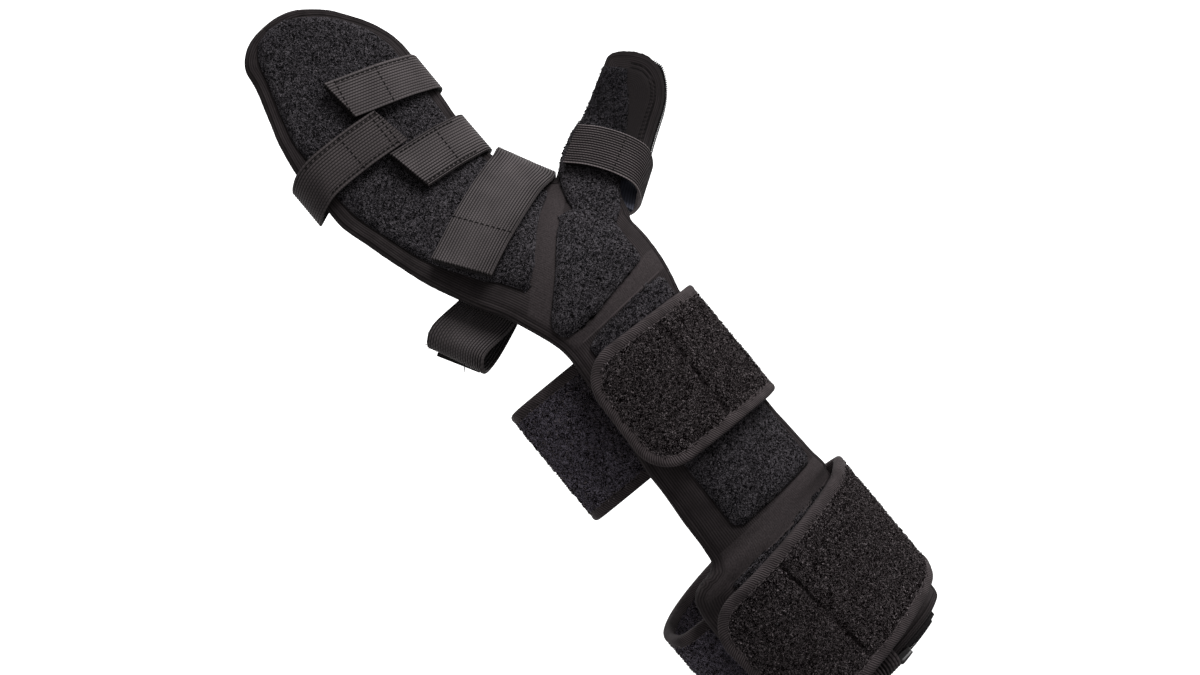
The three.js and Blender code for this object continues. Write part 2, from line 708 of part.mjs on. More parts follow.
const WEBBING_WIDTHS = {
  finger_strap_distal: WEBBING.tips,
  finger_strap_middle: WEBBING.middle,
  palm_strap: WEBBING.palm,
  thumb_strap: WEBBING.thumb,
};
for (const [name, width] of Object.entries(WEBBING_WIDTHS)) {
  const path = routes[name];
  const onThumbSide = name === "thumb_strap"; // this ribbon's inner face is its front
  const long = onThumbSide ? 16 : 22;
  add(name, webbingSolid(path, width), "webbing");
  add(name + "_hook", hookSolid(path, 0.5, long, width - 1.5, WEBBING.wall, onThumbSide ? 1 : -1), "hook");
}
const distal = routes.finger_strap_distal;
add(
  "finger_strap_distal_end_hook",
  hookSolid(distal, distal.length - 22, distal.length - 0.5, WEBBING.tips - 1.5, WEBBING.wall),
  "hook",
);
// Second layer on the palm strap where it passes the edge of the hand
const palm = routes.palm_strap;
const step = palm.length / webbingCount(palm);
const tail = { from: palm.length - 17 * step, to: palm.length - 13 * step, width: 20 };
add("palm_strap_tail", hookSolid(palm, tail.from, tail.to, tail.width, WEBBING.wall, 1, 4), "hook");

for (const name of Object.keys(PADDED_ROUTES)) {
  const path = routes[name];
  const { width } = PADDED_ROUTES[name];
  add(name, paddedStrapSolid(path, width), "pile");
  add(name + "_binding", bindingSolid(path, width), "binding");
  add(name + "_hook", hookSolid(path, 9, 44, width - 3 * PADDED.binding, PADDED.wall), "hook");
}

// Zip along the elbow end of the cover, with its slider and a webbing tab folded over the end
const zipLine = (y) => onBoard(REACH.elbow + ZIP.edge, y, FACE - PADDING / 2);
add("elbow_zip", cordSolid(steps(28, 7.5, 8).map(zipLine), ZIP.coil), "zip");
const slider = new THREE.BoxGeometry(3.4, 6.5, 5.2).toNonIndexed();
const sliderSpot = zipLine(3.2);
add("zip_slider", solidGeometry(slider.translate(sliderSpot.x, sliderSpot.y, sliderSpot.z)), "zip");
const tab = ribbon([
  endStop(REACH.elbow - 5, -9, FACE + 2),
  endStop(REACH.elbow - 1.2, -9, FACE + 2),
  endStop(REACH.elbow + 2.4, -9, FACE - 1),
  endStop(REACH.elbow + 2.4, -9, 1.5),
  endStop(REACH.elbow - 1.5, -9, STRAP_IN),
  endStop(REACH.elbow - 9.5, -9, STRAP_IN),
]);
add("zip_end_tab", webbingSolid(tab, 15), "webbing");

// Zip round the side of the thumb end, standing off the edge of the trough
const rim = steps(58, THUMB_LENGTH - 0.6, 16).map((along) => new THREE.Vector2(along, thumbEdges(along).right));
const thumbZip = rim.slice(1, -1).map((p, i) => {
  const run = rim[i + 2].clone().sub(rim[i]).normalize();
  return onThumb(p.x - run.y * ZIP.edge, p.y + run.x * ZIP.edge, FACE - PADDING * 0.4);
});
add("thumb_zip", cordSolid(thumbZip, ZIP.coil), "zip");

export default splint;
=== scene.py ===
import math

import bpy
import numpy as np
from mathutils import Matrix, Vector
from mathutils.bvhtree import BVHTree


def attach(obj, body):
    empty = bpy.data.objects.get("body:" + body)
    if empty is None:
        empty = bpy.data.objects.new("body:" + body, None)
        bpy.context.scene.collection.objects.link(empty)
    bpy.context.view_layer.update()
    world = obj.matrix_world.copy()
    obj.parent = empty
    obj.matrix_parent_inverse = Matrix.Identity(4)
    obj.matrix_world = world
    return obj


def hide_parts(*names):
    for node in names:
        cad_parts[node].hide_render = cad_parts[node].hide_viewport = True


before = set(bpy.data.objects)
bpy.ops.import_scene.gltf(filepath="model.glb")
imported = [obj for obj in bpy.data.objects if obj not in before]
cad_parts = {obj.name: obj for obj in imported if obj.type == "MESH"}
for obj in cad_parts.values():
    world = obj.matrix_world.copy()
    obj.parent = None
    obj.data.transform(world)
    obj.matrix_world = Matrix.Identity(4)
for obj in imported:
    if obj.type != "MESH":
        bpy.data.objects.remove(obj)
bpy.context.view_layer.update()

mm = 0.001
print("frame loaded,", len(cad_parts), "nodes")

# camera at the angle of the photograph
camera = {
    "right": (0.6361, 0.6993, 0.3261),
    "up": (-0.7716, 0.5765, 0.2688),
    "back": (0.0, -0.4226, 0.9063),
    "place": (0.0007, -0.3066, 0.6374),
    "lens": 50.4,
}


def makeCamera():
    bpy.ops.object.camera_add()
    eye = bpy.context.object
    turn = Matrix((camera["right"], camera["up"], camera["back"])).transposed()
    eye.matrix_world = Matrix.Translation(camera["place"]) @ turn.to_4x4()
    eye.data.lens = camera["lens"]
    eye.data.clip_start = 0.01
    eye.data.clip_end = 50
    bpy.context.scene.camera = eye


makeCamera()

# soft studio: a bright floor well below the splint, pale all round, one broad light beyond the tip and a fill
studio = {
    "floorDrop": -0.42,
    "floorSize": 60.0,
    "floorColour": (0.9, 0.9, 0.9, 1),
    "floorGlow": 0.38,
    "world": 0.42,
    "key": {"place": (-0.66, 0.68, 0.8), "size": 0.7, "power": 24.0},
    "fill": {"place": (-0.2, 1.0, 0.6), "size": 0.7, "power": 4.0},
}


def makeStudio():
    bpy.ops.object.select_all(action="DESELECT")
    bpy.ops.mesh.primitive_plane_add(size=studio["floorSize"])
    floor = bpy.context.object
    floor.name = "floor"
    bpy.ops.object.mode_set(mode="EDIT")
    bpy.ops.transform.translate(value=(0, 0, studio["floorDrop"]))
    bpy.ops.object.mode_set(mode="OBJECT")
    pale = bpy.data.materials.new("paleFloor")
    pale.use_nodes = True
    shader = pale.node_tree.nodes["Principled BSDF"]
    shader.inputs["Base Color"].default_value = studio["floorColour"]
    shader.inputs["Roughness"].default_value = 0.9
    shader.inputs["Specular IOR Level"].default_value = 0.1
    shader.inputs["Emission Color"].default_value = (1, 1, 1, 1)
    shader.inputs["Emission Strength"].default_value = studio["floorGlow"]
    floor.data.materials.append(pale)
    world = bpy.data.worlds.new("studioWhite")
    world.use_nodes = True
    sky = world.node_tree.nodes["Background"]
    sky.inputs["Color"].default_value = (1, 1, 1, 1)
    sky.inputs["Strength"].default_value = studio["world"]
    bpy.context.scene.world = world
    for name in ("key", "fill"):
        plan = studio[name]
        bpy.ops.object.light_add(type="AREA", location=plan["place"])
        lamp = bpy.context.object
        lamp.name = name + "Light"
        lamp.data.size = plan["size"]
        lamp.data.energy = plan["power"]
        lamp.rotation_euler = Vector(plan["place"]).to_track_quat("Z", "Y").to_euler()
    bpy.context.scene.view_settings.view_transform = "Standard"


makeStudio()
print("camera and studio ready")

# the padded board, in millimetres: places along it from the origin, its two edges and the radius it is bowed to
board = {
    "tip": -204.0,
    "elbow": 182.5,
    "skin": 1.8,
    "face": 8.1,
    "roll": 2.6,
    "spine": -21.0,
    "tipRound": (14.0, 50.0),
    "elbowRound": (6.0, 0.07),
    "profile": ((4, 0), (38, -30), (34, 0), (40, 30), (42, 0), (47, 12)),
    "s": (-204, -187, -170, -156, -142, -118, -96, -72, -52, -28, 0, 8, 30, 60, 94, 102, 105.3, 107.2, 111, 122,
          180),
    "ulnar": (-44, -44.8, -49, -53, -55, -54.5, -50, -46, -41, -33, -27, -27.5, -29, -32, -33.5, -34, -36.5, -44.5,
              -48.5, -50.5, -49),
    "radial": (20, 22.3, 25.2, 24, 23.5, 22, 23.6, 33, 39.5, 42.5, 37.5, 35.5, 35, 35.2, 37.5, 39, 40, 40.5, 41.5,
               43, 45),
    "bow": (190, 190, 190, 190, 190, 170, 140, 110, 88, 68, 58, 57, 54, 52, 50, 50, 50, 50, 51, 53, 58),
}


def smoothColumn(keys, values, at):
    keys, values = np.array(keys, float), np.array(values, float)
    at = np.clip(np.asarray(at, float), keys[0], keys[-1])
    i = np.clip(np.searchsorted(keys, at) - 1, 0, len(keys) - 2)
    step = np.diff(keys)
    rise = np.diff(values) / step
    slope = np.zeros(len(keys))
    same = rise[:-1] * rise[1:] > 0
    total = np.where(same, rise[:-1] + rise[1:], 1)
    slope[1:-1] = np.where(same, 2 * rise[:-1] * rise[1:] / total, 0)
    t = (at - keys[i]) / step[i]
    ease = t * t * (3 - 2 * t)
    lead = t * (1 - t) ** 2 * step[i] * slope[i]
    trail = t * t * (t - 1) * step[i] * slope[i + 1]
    return values[i] * (1 - ease) + values[i + 1] * ease + lead + trail


def boardColumn(name, s):
    return smoothColumn(board["s"], board[name], s)


def boardMiddle(s):
    return (boardColumn("ulnar", s) + boardColumn("radial", s)) / 2


def wallHeight(share):  # a share of the way from the board's face to its inner side
    return board["face"] - share * (board["face"] - board["skin"])


def endRound(distance, length):
    return np.sqrt(1 - (1 - np.clip(distance, 0, length) / length) ** 2)


def stack(x, y, z):
    return np.stack(np.broadcast_arrays(x, y, z), axis=-1)


def unit(vectors):
    return vectors / np.maximum(np.linalg.norm(vectors, axis=-1, keepdims=True), 1e-9)


def runLength(line):
    return np.concatenate([[0], np.cumsum(np.linalg.norm(np.diff(line, axis=0), axis=1))])


def centreLine(s):
    s = np.asarray(s, float)
    x, z, angle, left = np.maximum(s, 0), np.zeros_like(s), np.zeros_like(s), np.maximum(-s, 0)
    for length, bend in board["profile"]:
        run = np.minimum(left, length)
        curl = math.radians(bend) / length
        turned = angle + curl * run
        chord = run if curl == 0 else 2 * np.sin(curl * run / 2) / curl
        mean = (angle + turned) / 2
        x, z = x - chord * np.cos(mean), z + chord * np.sin(mean)
        angle, left = turned, left - run
    return x, z, angle


def linePoint(s, across, out):
    x, z, angle = centreLine(s)
    return stack(x + out * np.sin(angle), across, z + out * np.cos(angle))


def lineWay(s):
    angle = centreLine(s)[2]
    return stack(np.cos(angle), 0, -np.sin(angle))


def boardPoint(s, y, height):
    bow = boardColumn("bow", s)
    centre = boardMiddle(s)
    turn = np.arcsin(np.clip((y - centre) / (bow + board["face"]), -1, 1))
    return linePoint(s, centre + (bow + height) * np.sin(turn), (bow + height) * np.cos(turn) - bow)


def boardEdges(s):
    length, share = board["elbowRound"]
    elbow = 1 - (1 - endRound(board["elbow"] - s, length)) * share
    sides = []
    for name, tipLength in zip(("ulnar", "radial"), board["tipRound"]):
        reach = boardColumn(name, s) - board["spine"]
        sides.append((board["spine"] + reach * endRound(s - board["tip"], tipLength)) * elbow)
    return sides


# the thumb trough: along its axis, how far it goes to each side, how far its lining goes to the right, its bow,
# set-back and inner height
thumb = {
    "base": (-33, 10),
    "pull": (-52, 40),
    "tip": (-86.5, 102.5, -10),
    "facing": (0.04, -0.47, 0.88),
    "along": (10, 22, 29, 35, 42, 50, 58, 64, 71, 107),
    "left": (10, 16, 20, 22.5, 23.5, 24.4, 25, 24, 19.6, 18),
    "right": (19, 19, 17, 12.5, 9, 11, 17, 19, 19, 19.6),
    "web": (17, 17, 18, 19.5, 20.5, 20.5, 18.5, 17.8, 18.4, 19.4),
    "bow": (90, 60, 44, 32, 25, 20, 17.5, 16.5, 16, 17),
    "sink": (1.4, 0.9, 0.6, 0.4, 0, 0, 0, 0, 0, 0),
    "skin": (5.5, 5.2, 4.8, 4.3, 3.3, 3.3, 3.3, 3.3, 3.3, 3.3),
    "endRound": (5.0, 24.0),
}


def thumbColumn(name, along):
    return smoothColumn(thumb["along"], thumb[name], along)


def makeThumbLine():
    a = boardPoint(*thumb["base"], board["face"])
    b = boardPoint(*thumb["pull"], board["face"])
    c = np.array(thumb["tip"], float)
    t = np.linspace(0, 1, 401)[:, None]
    line = a * (1 - t) ** 2 + 2 * b * t * (1 - t) + c * t * t
    way = unit((b - a) * (1 - t) + (c - b) * t)
    return runLength(line), line, way


thumbRun, thumbLine, thumbWay = makeThumbLine()
thumbLength = thumbRun[-1]


def follow(run, values, at):
    return np.stack([np.interp(at, run, values[:, k]) for k in range(3)], axis=-1)


def thumbFrame(along):
    share = np.clip(np.asarray(along, float) / thumbLength, 0, 1)
    forward = unit(follow(thumbRun, thumbWay, share * thumbLength))
    ease = (share * share * (3 - 2 * share))[..., None]
    angle = centreLine(thumb["base"][0])[2]
    start = np.array([np.sin(angle), 0, np.cos(angle)])
    out = start * (1 - ease) + np.array(thumb["facing"]) * ease
    out = unit(out - forward * (out * forward).sum(-1, keepdims=True))
    return follow(thumbRun, thumbLine, share * thumbLength), forward, out, np.cross(forward, out)


def thumbLinePoint(along, across, out):
    axis, _, outward, right = thumbFrame(along)
    return axis + right * np.asarray(across)[..., None] + outward * np.asarray(out)[..., None]


def thumbPoint(along, side, height):
    bow = thumbColumn("bow", along)
    turn = side / (bow + board["face"])
    radius = bow + height - thumbColumn("sink", along)
    return thumbLinePoint(along, radius * np.sin(turn), radius * np.cos(turn) - bow - board["face"])


def thumbEdges(along):
    end = thumbLength - along
    left, right = thumb["endRound"]
    return -thumbColumn("left", along) * endRound(end, left), thumbColumn("right", along) * endRound(end, right)


# a strap's route: stops with the way across the strap at each, joined by one smooth ribbon
def faceStop(s, y, height):
    return boardPoint(s, y, height), lineWay(s)


def loopStop(s, across, out, lean=0.0):
    return linePoint(s, across, out), lineWay(s) + np.array([0, lean, 0])


def thumbStop(along, side, height):
    return thumbPoint(along, side, height), thumbFrame(along)[1]


def ringStop(along, across, out):
    return thumbLinePoint(along, across, out), thumbFrame(along)[1]


def endStop(s, y, height):
    return boardPoint(s, y, height), np.array([0.0, 1.0, 0.0])


def ribbon(stops):
    points = np.array([stop[0] for stop in stops])
    sides = np.array([stop[1] for stop in stops])
    held = np.vstack([2 * points[0] - points[1], points, 2 * points[-1] - points[-2]])
    line, side = [], []
    for i in range(len(points) - 1):
        a, b, c, d = held[i:i + 4]
        ab, bc, cd = (math.sqrt(np.linalg.norm(q - p)) for p, q in ((a, b), (b, c), (c, d)))
        leave = ((b - a) / ab - (c - a) / (ab + bc) + (c - b) / bc) * bc
        reach = ((c - b) / bc - (d - b) / (bc + cd) + (d - c) / cd) * bc
        t = np.linspace(0, 1, 31)[(1 if i else 0):, None]
        line.append(b + leave * t + (-3 * b + 3 * c - 2 * leave - reach) * t ** 2
                    + (2 * b - 2 * c + leave + reach) * t ** 3)
        side.append(sides[i] * (1 - t) + sides[i + 1] * t)
    line, side = np.vstack(line), np.vstack(side)
    run = runLength(line)
    forward = unit(np.gradient(line, run, axis=0))
    wide = unit(side - forward * (side * forward).sum(1, keepdims=True))
    return {"run": run, "line": line, "forward": forward, "wide": wide, "length": run[-1]}


def onRibbon(path, u, v, w):
    u, v, w = np.broadcast_arrays(np.asarray(u, float), v, w)
    inside = np.clip(u, 0, path["length"])
    forward = unit(follow(path["run"], path["forward"], inside))
    wide = unit(follow(path["run"], path["wide"], inside))
    out = np.cross(wide, forward)
    spill = (u - inside)[..., None]
    return follow(path["run"], path["line"], inside) + wide * v[..., None] + out * w[..., None] + forward * spill


def ribbonOut(path, u):
    return np.cross(follow(path["run"], path["wide"], u), follow(path["run"], path["forward"], u))


# modelling helpers
def selectOnly(piece):
    bpy.ops.object.select_all(action="DESELECT")
    piece.select_set(True)
    bpy.context.view_layer.objects.active = piece


def addShape(add, **settings):
    bpy.ops.object.select_all(action="DESELECT")
    add(**settings)
    return bpy.context.object


def gridBlank(name, across, along):
    blank = addShape(bpy.ops.mesh.primitive_grid_add, x_subdivisions=across, y_subdivisions=along, size=1,
                     calc_uvs=True)
    blank.name = name
    blank.data.name = name
    places = readPoints(blank) + 0.5
    return blank, places[:, 0], places[:, 1]


def readPoints(piece, column="co"):
    flat = np.zeros(len(piece.data.vertices) * 3)
    piece.data.vertices.foreach_get(column, flat)
    return flat.reshape(-1, 3)


def placePoints(piece, points):
    piece.data.vertices.foreach_set("co", (np.asarray(points) * mm).ravel())
    piece.data.update()


def setWeaveMap(piece, across, along):
    layer = piece.data.uv_layers[0] if piece.data.uv_layers else piece.data.uv_layers.new()
    layer.name = "weave"
    corner = np.zeros(len(piece.data.loops), int)
    piece.data.loops.foreach_get("vertex_index", corner)
    layer.data.foreach_set("uv", np.stack([across[corner], along[corner]], axis=1).astype(float).ravel())


def finishWith(piece, kind, **settings):
    modifier = piece.modifiers.new(kind.title(), kind)
    for key, value in settings.items():
        setattr(modifier, key, value)
    selectOnly(piece)
    bpy.ops.object.modifier_apply(modifier=modifier.name)


def editAll(piece, *steps):
    selectOnly(piece)
    bpy.ops.object.mode_set(mode="EDIT")
    bpy.ops.mesh.select_all(action="SELECT")
    for step in steps:
        step()
    bpy.ops.object.mode_set(mode="OBJECT")


def closeTube(piece):
    editAll(piece, lambda: bpy.ops.mesh.remove_doubles(threshold=0.00002),
            lambda: bpy.ops.mesh.fill_holes(sides=0),
            lambda: bpy.ops.mesh.normals_make_consistent(inside=False))


def smoothFaces(piece, angle=40):
    selectOnly(piece)
    bpy.ops.object.shade_smooth_by_angle(angle=math.radians(angle))


def finishPiece(piece, slot, materials, *nodes):
    piece.data.materials.clear()
    for material in materials:
        piece.data.materials.append(material)
    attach(piece, "root")
    if nodes:
        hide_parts(*nodes)
    return piece


def faceOut(piece, way):
    piece.data.update()
    if (readPoints(piece, "normal") * way).sum() < 0:
        editAll(piece, lambda: bpy.ops.mesh.flip_normals())


# shader groups that several finishes share
def newGroup(name, inputs, outputs):
    group = bpy.data.node_groups.new(name, "ShaderNodeTree")
    for label, kind in inputs:
        group.interface.new_socket(label, in_out="INPUT", socket_type="NodeSocket" + kind)
    for label, kind in outputs:
        group.interface.new_socket(label, in_out="OUTPUT", socket_type="NodeSocket" + kind)
    return group, group.nodes.new("NodeGroupInput"), group.nodes.new("NodeGroupOutput")


def plug(tree, socket, value):
    if isinstance(value, bpy.types.NodeSocket):
        tree.links.new(value, socket)
    else:
        socket.default_value = value


def calc(tree, operation, *values):
    node = tree.nodes.new("ShaderNodeMath")
    node.operation = operation
    for socket, value in zip(node.inputs, values):
        plug(tree, socket, value)
    return node.outputs[0]


def times(tree, a, b):
    return calc(tree, "MULTIPLY", a, b)


def weigh(tree, a, shareA, b, shareB):
    return calc(tree, "ADD", times(tree, a, shareA), times(tree, b, shareB))


def noise(tree, place, scale, detail=2.0, roughness=0.5, distortion=0.0):
    node = tree.nodes.new("ShaderNodeTexNoise")
    plug(tree, node.inputs["Vector"], place)
    plug(tree, node.inputs["Scale"], scale)
    node.inputs["Detail"].default_value = detail
    node.inputs["Roughness"].default_value = roughness
    node.inputs["Distortion"].default_value = distortion
    return node.outputs["Fac"]


def spread(tree, value, low, high, newLow=0.0, newHigh=1.0):
    node = tree.nodes.new("ShaderNodeMapRange")
    for socket, number in zip(node.inputs, (value, low, high, newLow, newHigh)):
        plug(tree, socket, number)
    return node.outputs["Result"]


def split(tree, vector):
    node = tree.nodes.new("ShaderNodeSeparateXYZ")
    plug(tree, node.inputs[0], vector)
    return node.outputs


def blend(tree, share, a, b):
    node = tree.nodes.new("ShaderNodeMix")
    node.data_type = "RGBA"
    plug(tree, node.inputs["Factor"], share)
    plug(tree, node.inputs[6], a)
    plug(tree, node.inputs[7], b)
    return node.outputs[2]


def wave(tree, value):
    return spread(tree, calc(tree, "COSINE", times(tree, value, 2 * math.pi)), -1, 1)


# ribs of webbing: raised lines along it, each crossed by short dashes of the weft
def makeRibGroup():
    group, start, end = newGroup(
        "webbingRibs",
        [("Place", "Vector"), ("Pitch", "Float"), ("Dash", "Float")],
        [("Height", "Float"), ("Thread", "Float")],
    )
    across, along, _ = split(group, start.outputs["Place"])
    phase = calc(group, "DIVIDE", across, start.outputs["Pitch"])
    rib = spread(group, wave(group, phase), 0.12, 0.8)
    odd = calc(group, "MODULO", calc(group, "FLOOR", calc(group, "ADD", phase, 500.5)), 2)
    step = calc(group, "DIVIDE", along, start.outputs["Dash"])
    dash = wave(group, calc(group, "ADD", step, times(group, odd, 0.5)))
    thread = times(group, rib, spread(group, dash, 0, 1, 0.62, 1))
    group.links.new(weigh(group, rib, 0.6, thread, 0.4), end.inputs["Height"])
    group.links.new(thread, end.inputs["Thread"])
    return group


# loop pile: a tangle of short curls with paler tips, and a little lint
def makePileGroup():
    group, start, end = newGroup(
        "loopPile",
        [("Place", "Vector"), ("Curl", "Float")],
        [("Height", "Float"), ("Tip", "Float"), ("Lint", "Float"), ("Patch", "Float")],
    )
    place, curl = start.outputs["Place"], start.outputs["Curl"]
    coarse = noise(group, place, curl, 2.0, 0.6, 1.6)
    off = times(group, calc(group, "SUBTRACT", coarse, 0.5), 5)
    ridge = calc(group, "SUBTRACT", 1, calc(group, "ABSOLUTE", off))
    fine = noise(group, place, times(group, curl, 2.1), 2.0, 0.6, 0.8)
    height = weigh(group, ridge, 0.65, fine, 0.5)
    group.links.new(height, end.inputs["Height"])
    group.links.new(spread(group, height, 0.66, 0.95), end.inputs["Tip"])
    cells = group.nodes.new("ShaderNodeTexVoronoi")
    group.links.new(place, cells.inputs["Vector"])
    group.links.new(times(group, curl, 0.16), cells.inputs["Scale"])
    group.links.new(spread(group, cells.outputs["Distance"], 0.075, 0.04), end.inputs["Lint"])
    group.links.new(noise(group, place, times(group, curl, 0.07), 2.0), end.inputs["Patch"])
    return group


# fine knit: close lines that follow the nearest edge, over a small grain
def makeKnitGroup():
    group, start, end = newGroup(
        "knitLines",
        [("Map", "Vector"), ("Place", "Vector"), ("Pitch", "Float"), ("Reach", "Float")],
        [("Height", "Float"), ("Line", "Float"), ("Grain", "Float")],
    )
    depth = split(group, start.outputs["Map"])[1]
    place, reach = start.outputs["Place"], start.outputs["Reach"]
    waver = times(group, calc(group, "SUBTRACT", noise(group, place, 60.0), 0.5), 0.9)
    line = wave(group, calc(group, "DIVIDE", calc(group, "ADD", depth, waver), start.outputs["Pitch"]))
    near = spread(group, depth, reach, times(group, reach, 0.6))
    broken = noise(group, place, 130.0, 3.0)
    line = times(group, times(group, line, near), spread(group, broken, 0.3, 0.7, 0.35, 1))
    grain = noise(group, place, 1500.0, 2.0, 0.6)
    group.links.new(weigh(group, line, 0.7, grain, 0.35), end.inputs["Height"])
    group.links.new(line, end.inputs["Line"])
    group.links.new(grain, end.inputs["Grain"])
    return group


ribGroup, pileGroup, knitGroup = makeRibGroup(), makePileGroup(), makeKnitGroup()


def warm(level, blue=0.86, green=0.83):
    return level, level * green, level * blue, 1


finishSockets = {"rough": "Roughness", "specular": "Specular IOR Level", "sheen": "Sheen Weight",
                 "sheenRough": "Sheen Roughness"}


def newFinish(name, **sockets):
    material = bpy.data.materials.new(name)
    material.use_nodes = True
    tree = material.node_tree
    shader = tree.nodes["Principled BSDF"]
    for key, value in sockets.items():
        shader.inputs[finishSockets[key]].default_value = value
    return material, tree, shader


def useGroup(tree, group, **values):
    node = tree.nodes.new("ShaderNodeGroup")
    node.node_tree = group
    for label, value in values.items():
        plug(tree, node.inputs[label], value)
    return node.outputs


def objectPlace(tree):
    return tree.nodes.new("ShaderNodeTexCoord").outputs["Object"]


def weaveMap(tree):
    node = tree.nodes.new("ShaderNodeUVMap")
    node.uv_map = "weave"
    return node.outputs["UV"]


def attribute(tree, name):
    node = tree.nodes.new("ShaderNodeAttribute")
    node.attribute_name = name
    return node.outputs["Fac"]


def nearLine(tree, value, at, wide):
    off = calc(tree, "ABSOLUTE", calc(tree, "SUBTRACT", value, at))
    return spread(tree, off, wide, wide * 0.4)


def bump(tree, shader, height, strength, depth):
    node = tree.nodes.new("ShaderNodeBump")
    node.inputs["Strength"].default_value = strength
    node.inputs["Distance"].default_value = depth * mm
    tree.links.new(height, node.inputs["Height"])
    tree.links.new(node.outputs["Normal"], shader.inputs["Normal"])


# painted shade: the thumb strip and its curls are darker above the thumb strap
stripShade = {"from": 0.058, "to": 0.068, "left": 0.36}
pileFinishes = {
    "loopPanel": {
        "curl": 1.2, "deep": warm(0.0024, 0.9), "deepCool": (0.0034, 0.0034, 0.005, 1), "tipShare": 0.95,
        "tip": warm(0.1, 1.0, 0.91), "steep": (0.0, 1.0), "lint": 0.25, "bump": 0.7, "specular": 0.03,
        "sheen": 0.01},
    "velourPile": {
        "curl": 1.0, "deep": warm(0.0012, 0.6, 0.55), "deepCool": warm(0.0016, 0.6, 0.55), "tipShare": 0.97,
        "tip": warm(0.225, 0.9, 0.87), "steep": (0.38, 1.0), "lint": 0.3, "bump": 0.9, "specular": 0.0,
        # the rear tip colour is painted bounce light at the rear, little-finger side
        "sheen": 0.0, "fold": 41.0, "foldWide": 1.3, "rearRun": (105.0, 120.0), "rearSide": (-0.012, -0.034),
        "bounceTip": (0.245, 0.22, 0.272, 1)},
    "velourBack": {
        "curl": 1.2, "deep": (0.0035, 0.0035, 0.005, 1), "deepCool": (0.005, 0.0053, 0.008, 1), "tipShare": 0.7,
        "tip": (0.06, 0.057, 0.072, 1), "steep": (0.0, 1.0), "lint": 0.2, "bump": 0.6, "specular": 0.03,
        "sheen": 0.02},
}
lintColour = (0.2, 0.2, 0.21, 1)


# painted shade: a share that falls to 'left' over the thumb strip above the thumb strap
def upThumb(tree):
    across = split(tree, objectPlace(tree))[1]
    return spread(tree, across, stripShade["from"], stripShade["to"], 1.0, stripShade["left"])


def makePileFinish(name, plan):
    material, tree, shader = newFinish(name, specular=plan["specular"], sheen=plan["sheen"], sheenRough=0.45)
    pile = useGroup(tree, pileGroup, Place=objectPlace(tree), Curl=1000 / plan["curl"])
    base = blend(tree, pile["Patch"], plan["deep"], plan["deepCool"])
    tip, share = plan["tip"], spread(tree, pile["Tip"], *plan["steep"])
    # painted light: at the rear, little-finger side of a padded strap the tips are paler and bluish and cover more of
    # the pile, as painted bounce light
    if "fold" in plan:
        run = split(tree, weaveMap(tree))[1]
        across = split(tree, objectPlace(tree))[1]
        rear = times(tree, spread(tree, run, *plan["rearRun"]), spread(tree, across, *plan["rearSide"]))
        tip = blend(tree, rear, tip, plan["bounceTip"])
        share = calc(tree, "MAXIMUM", share, times(tree, rear, pile["Tip"]))
    # the tips are dimmed there as painted shade above the thumb strap
    share = times(tree, times(tree, share, plan["tipShare"]), upThumb(tree))
    tipped = blend(tree, share, base, tip)
    # painted shade: a dark line along the sewn crease, broken up by noise
    if "fold" in plan:
        creaseBreakup = spread(tree, noise(tree, objectPlace(tree), 120.0, 2.0), 0.35, 0.65, 0.2, 0.85)
        crease = times(tree, nearLine(tree, run, plan["fold"], plan["foldWide"]), creaseBreakup)
        tipped = blend(tree, crease, tipped, plan["deep"])
    linted = blend(tree, times(tree, pile["Lint"], plan["lint"]), tipped, lintColour)
    tree.links.new(linted, shader.inputs["Base Color"])
    tree.links.new(spread(tree, pile["Tip"], 0, 1, 0.98, 0.78), shader.inputs["Roughness"])
    bump(tree, shader, pile["Height"], plan["bump"], 0.7)
    return material


finishes = {name: makePileFinish(name, plan) for name, plan in pileFinishes.items()}

webbingFinishes = {
    "ribbedWebbing": {"pitch": 1.25, "dash": 1.35, "groove": warm(0.0018), "ridge": warm(0.078, 0.89, 0.87)},
    "gridWebbing": {"pitch": 1.25, "dash": 1.5, "groove": warm(0.0015), "ridge": warm(0.059, 0.87, 0.85)},
    "thumbWebbing": {"pitch": 1.25, "dash": 1.35, "groove": warm(0.003), "ridge": warm(0.21, 0.88, 0.86)},
    "endWebbing": {"pitch": 1.7, "dash": 2.4, "groove": warm(0.0018), "ridge": warm(0.06)},
}


def makeWebbingFinish(name, plan):
    material, tree, shader = newFinish(name, specular=0.05, sheen=0.01)
    ribs = useGroup(tree, ribGroup, Place=weaveMap(tree), Pitch=plan["pitch"], Dash=plan["dash"])
    wear = noise(tree, objectPlace(tree), 90.0, 3.0)
    shown = times(tree, ribs["Thread"], spread(tree, wear, 0.25, 0.75, 0.65, 1))
    tree.links.new(blend(tree, shown, plan["groove"], plan["ridge"]), shader.inputs["Base Color"])
    tree.links.new(spread(tree, ribs["Thread"], 0, 1, 0.9, 0.55), shader.inputs["Roughness"])
    bump(tree, shader, ribs["Height"], 0.6, 0.3)
    return material


finishes.update({name: makeWebbingFinish(name, plan) for name, plan in webbingFinishes.items()})


def makeKnitFinish(name, pitch, reach, deep, pale, relief=0.45):
    material, tree, shader = newFinish(name, rough=0.85, specular=0.04, sheen=0.01)
    place = objectPlace(tree)
    knit = useGroup(tree, knitGroup, Map=weaveMap(tree), Place=place, Pitch=pitch, Reach=reach)
    shade = weigh(tree, knit["Line"], 0.75, knit["Grain"], 0.25)
    patch = spread(tree, noise(tree, place, 22.0, 3.0), 0.3, 0.7, 0.8, 1.1)
    tree.links.new(blend(tree, times(tree, shade, patch), deep, pale), shader.inputs["Base Color"])
    bump(tree, shader, knit["Height"], relief, 0.3)
    return material


finishes["liningKnit"] = makeKnitFinish("liningKnit", 1.6, 300.0, (0.02, 0.021, 0.03, 1), (0.075, 0.078, 0.1, 1))
finishes["bindingTape"] = makeKnitFinish("bindingTape", 1.0, 9000.0, warm(0.0025), warm(0.086), 0.9)
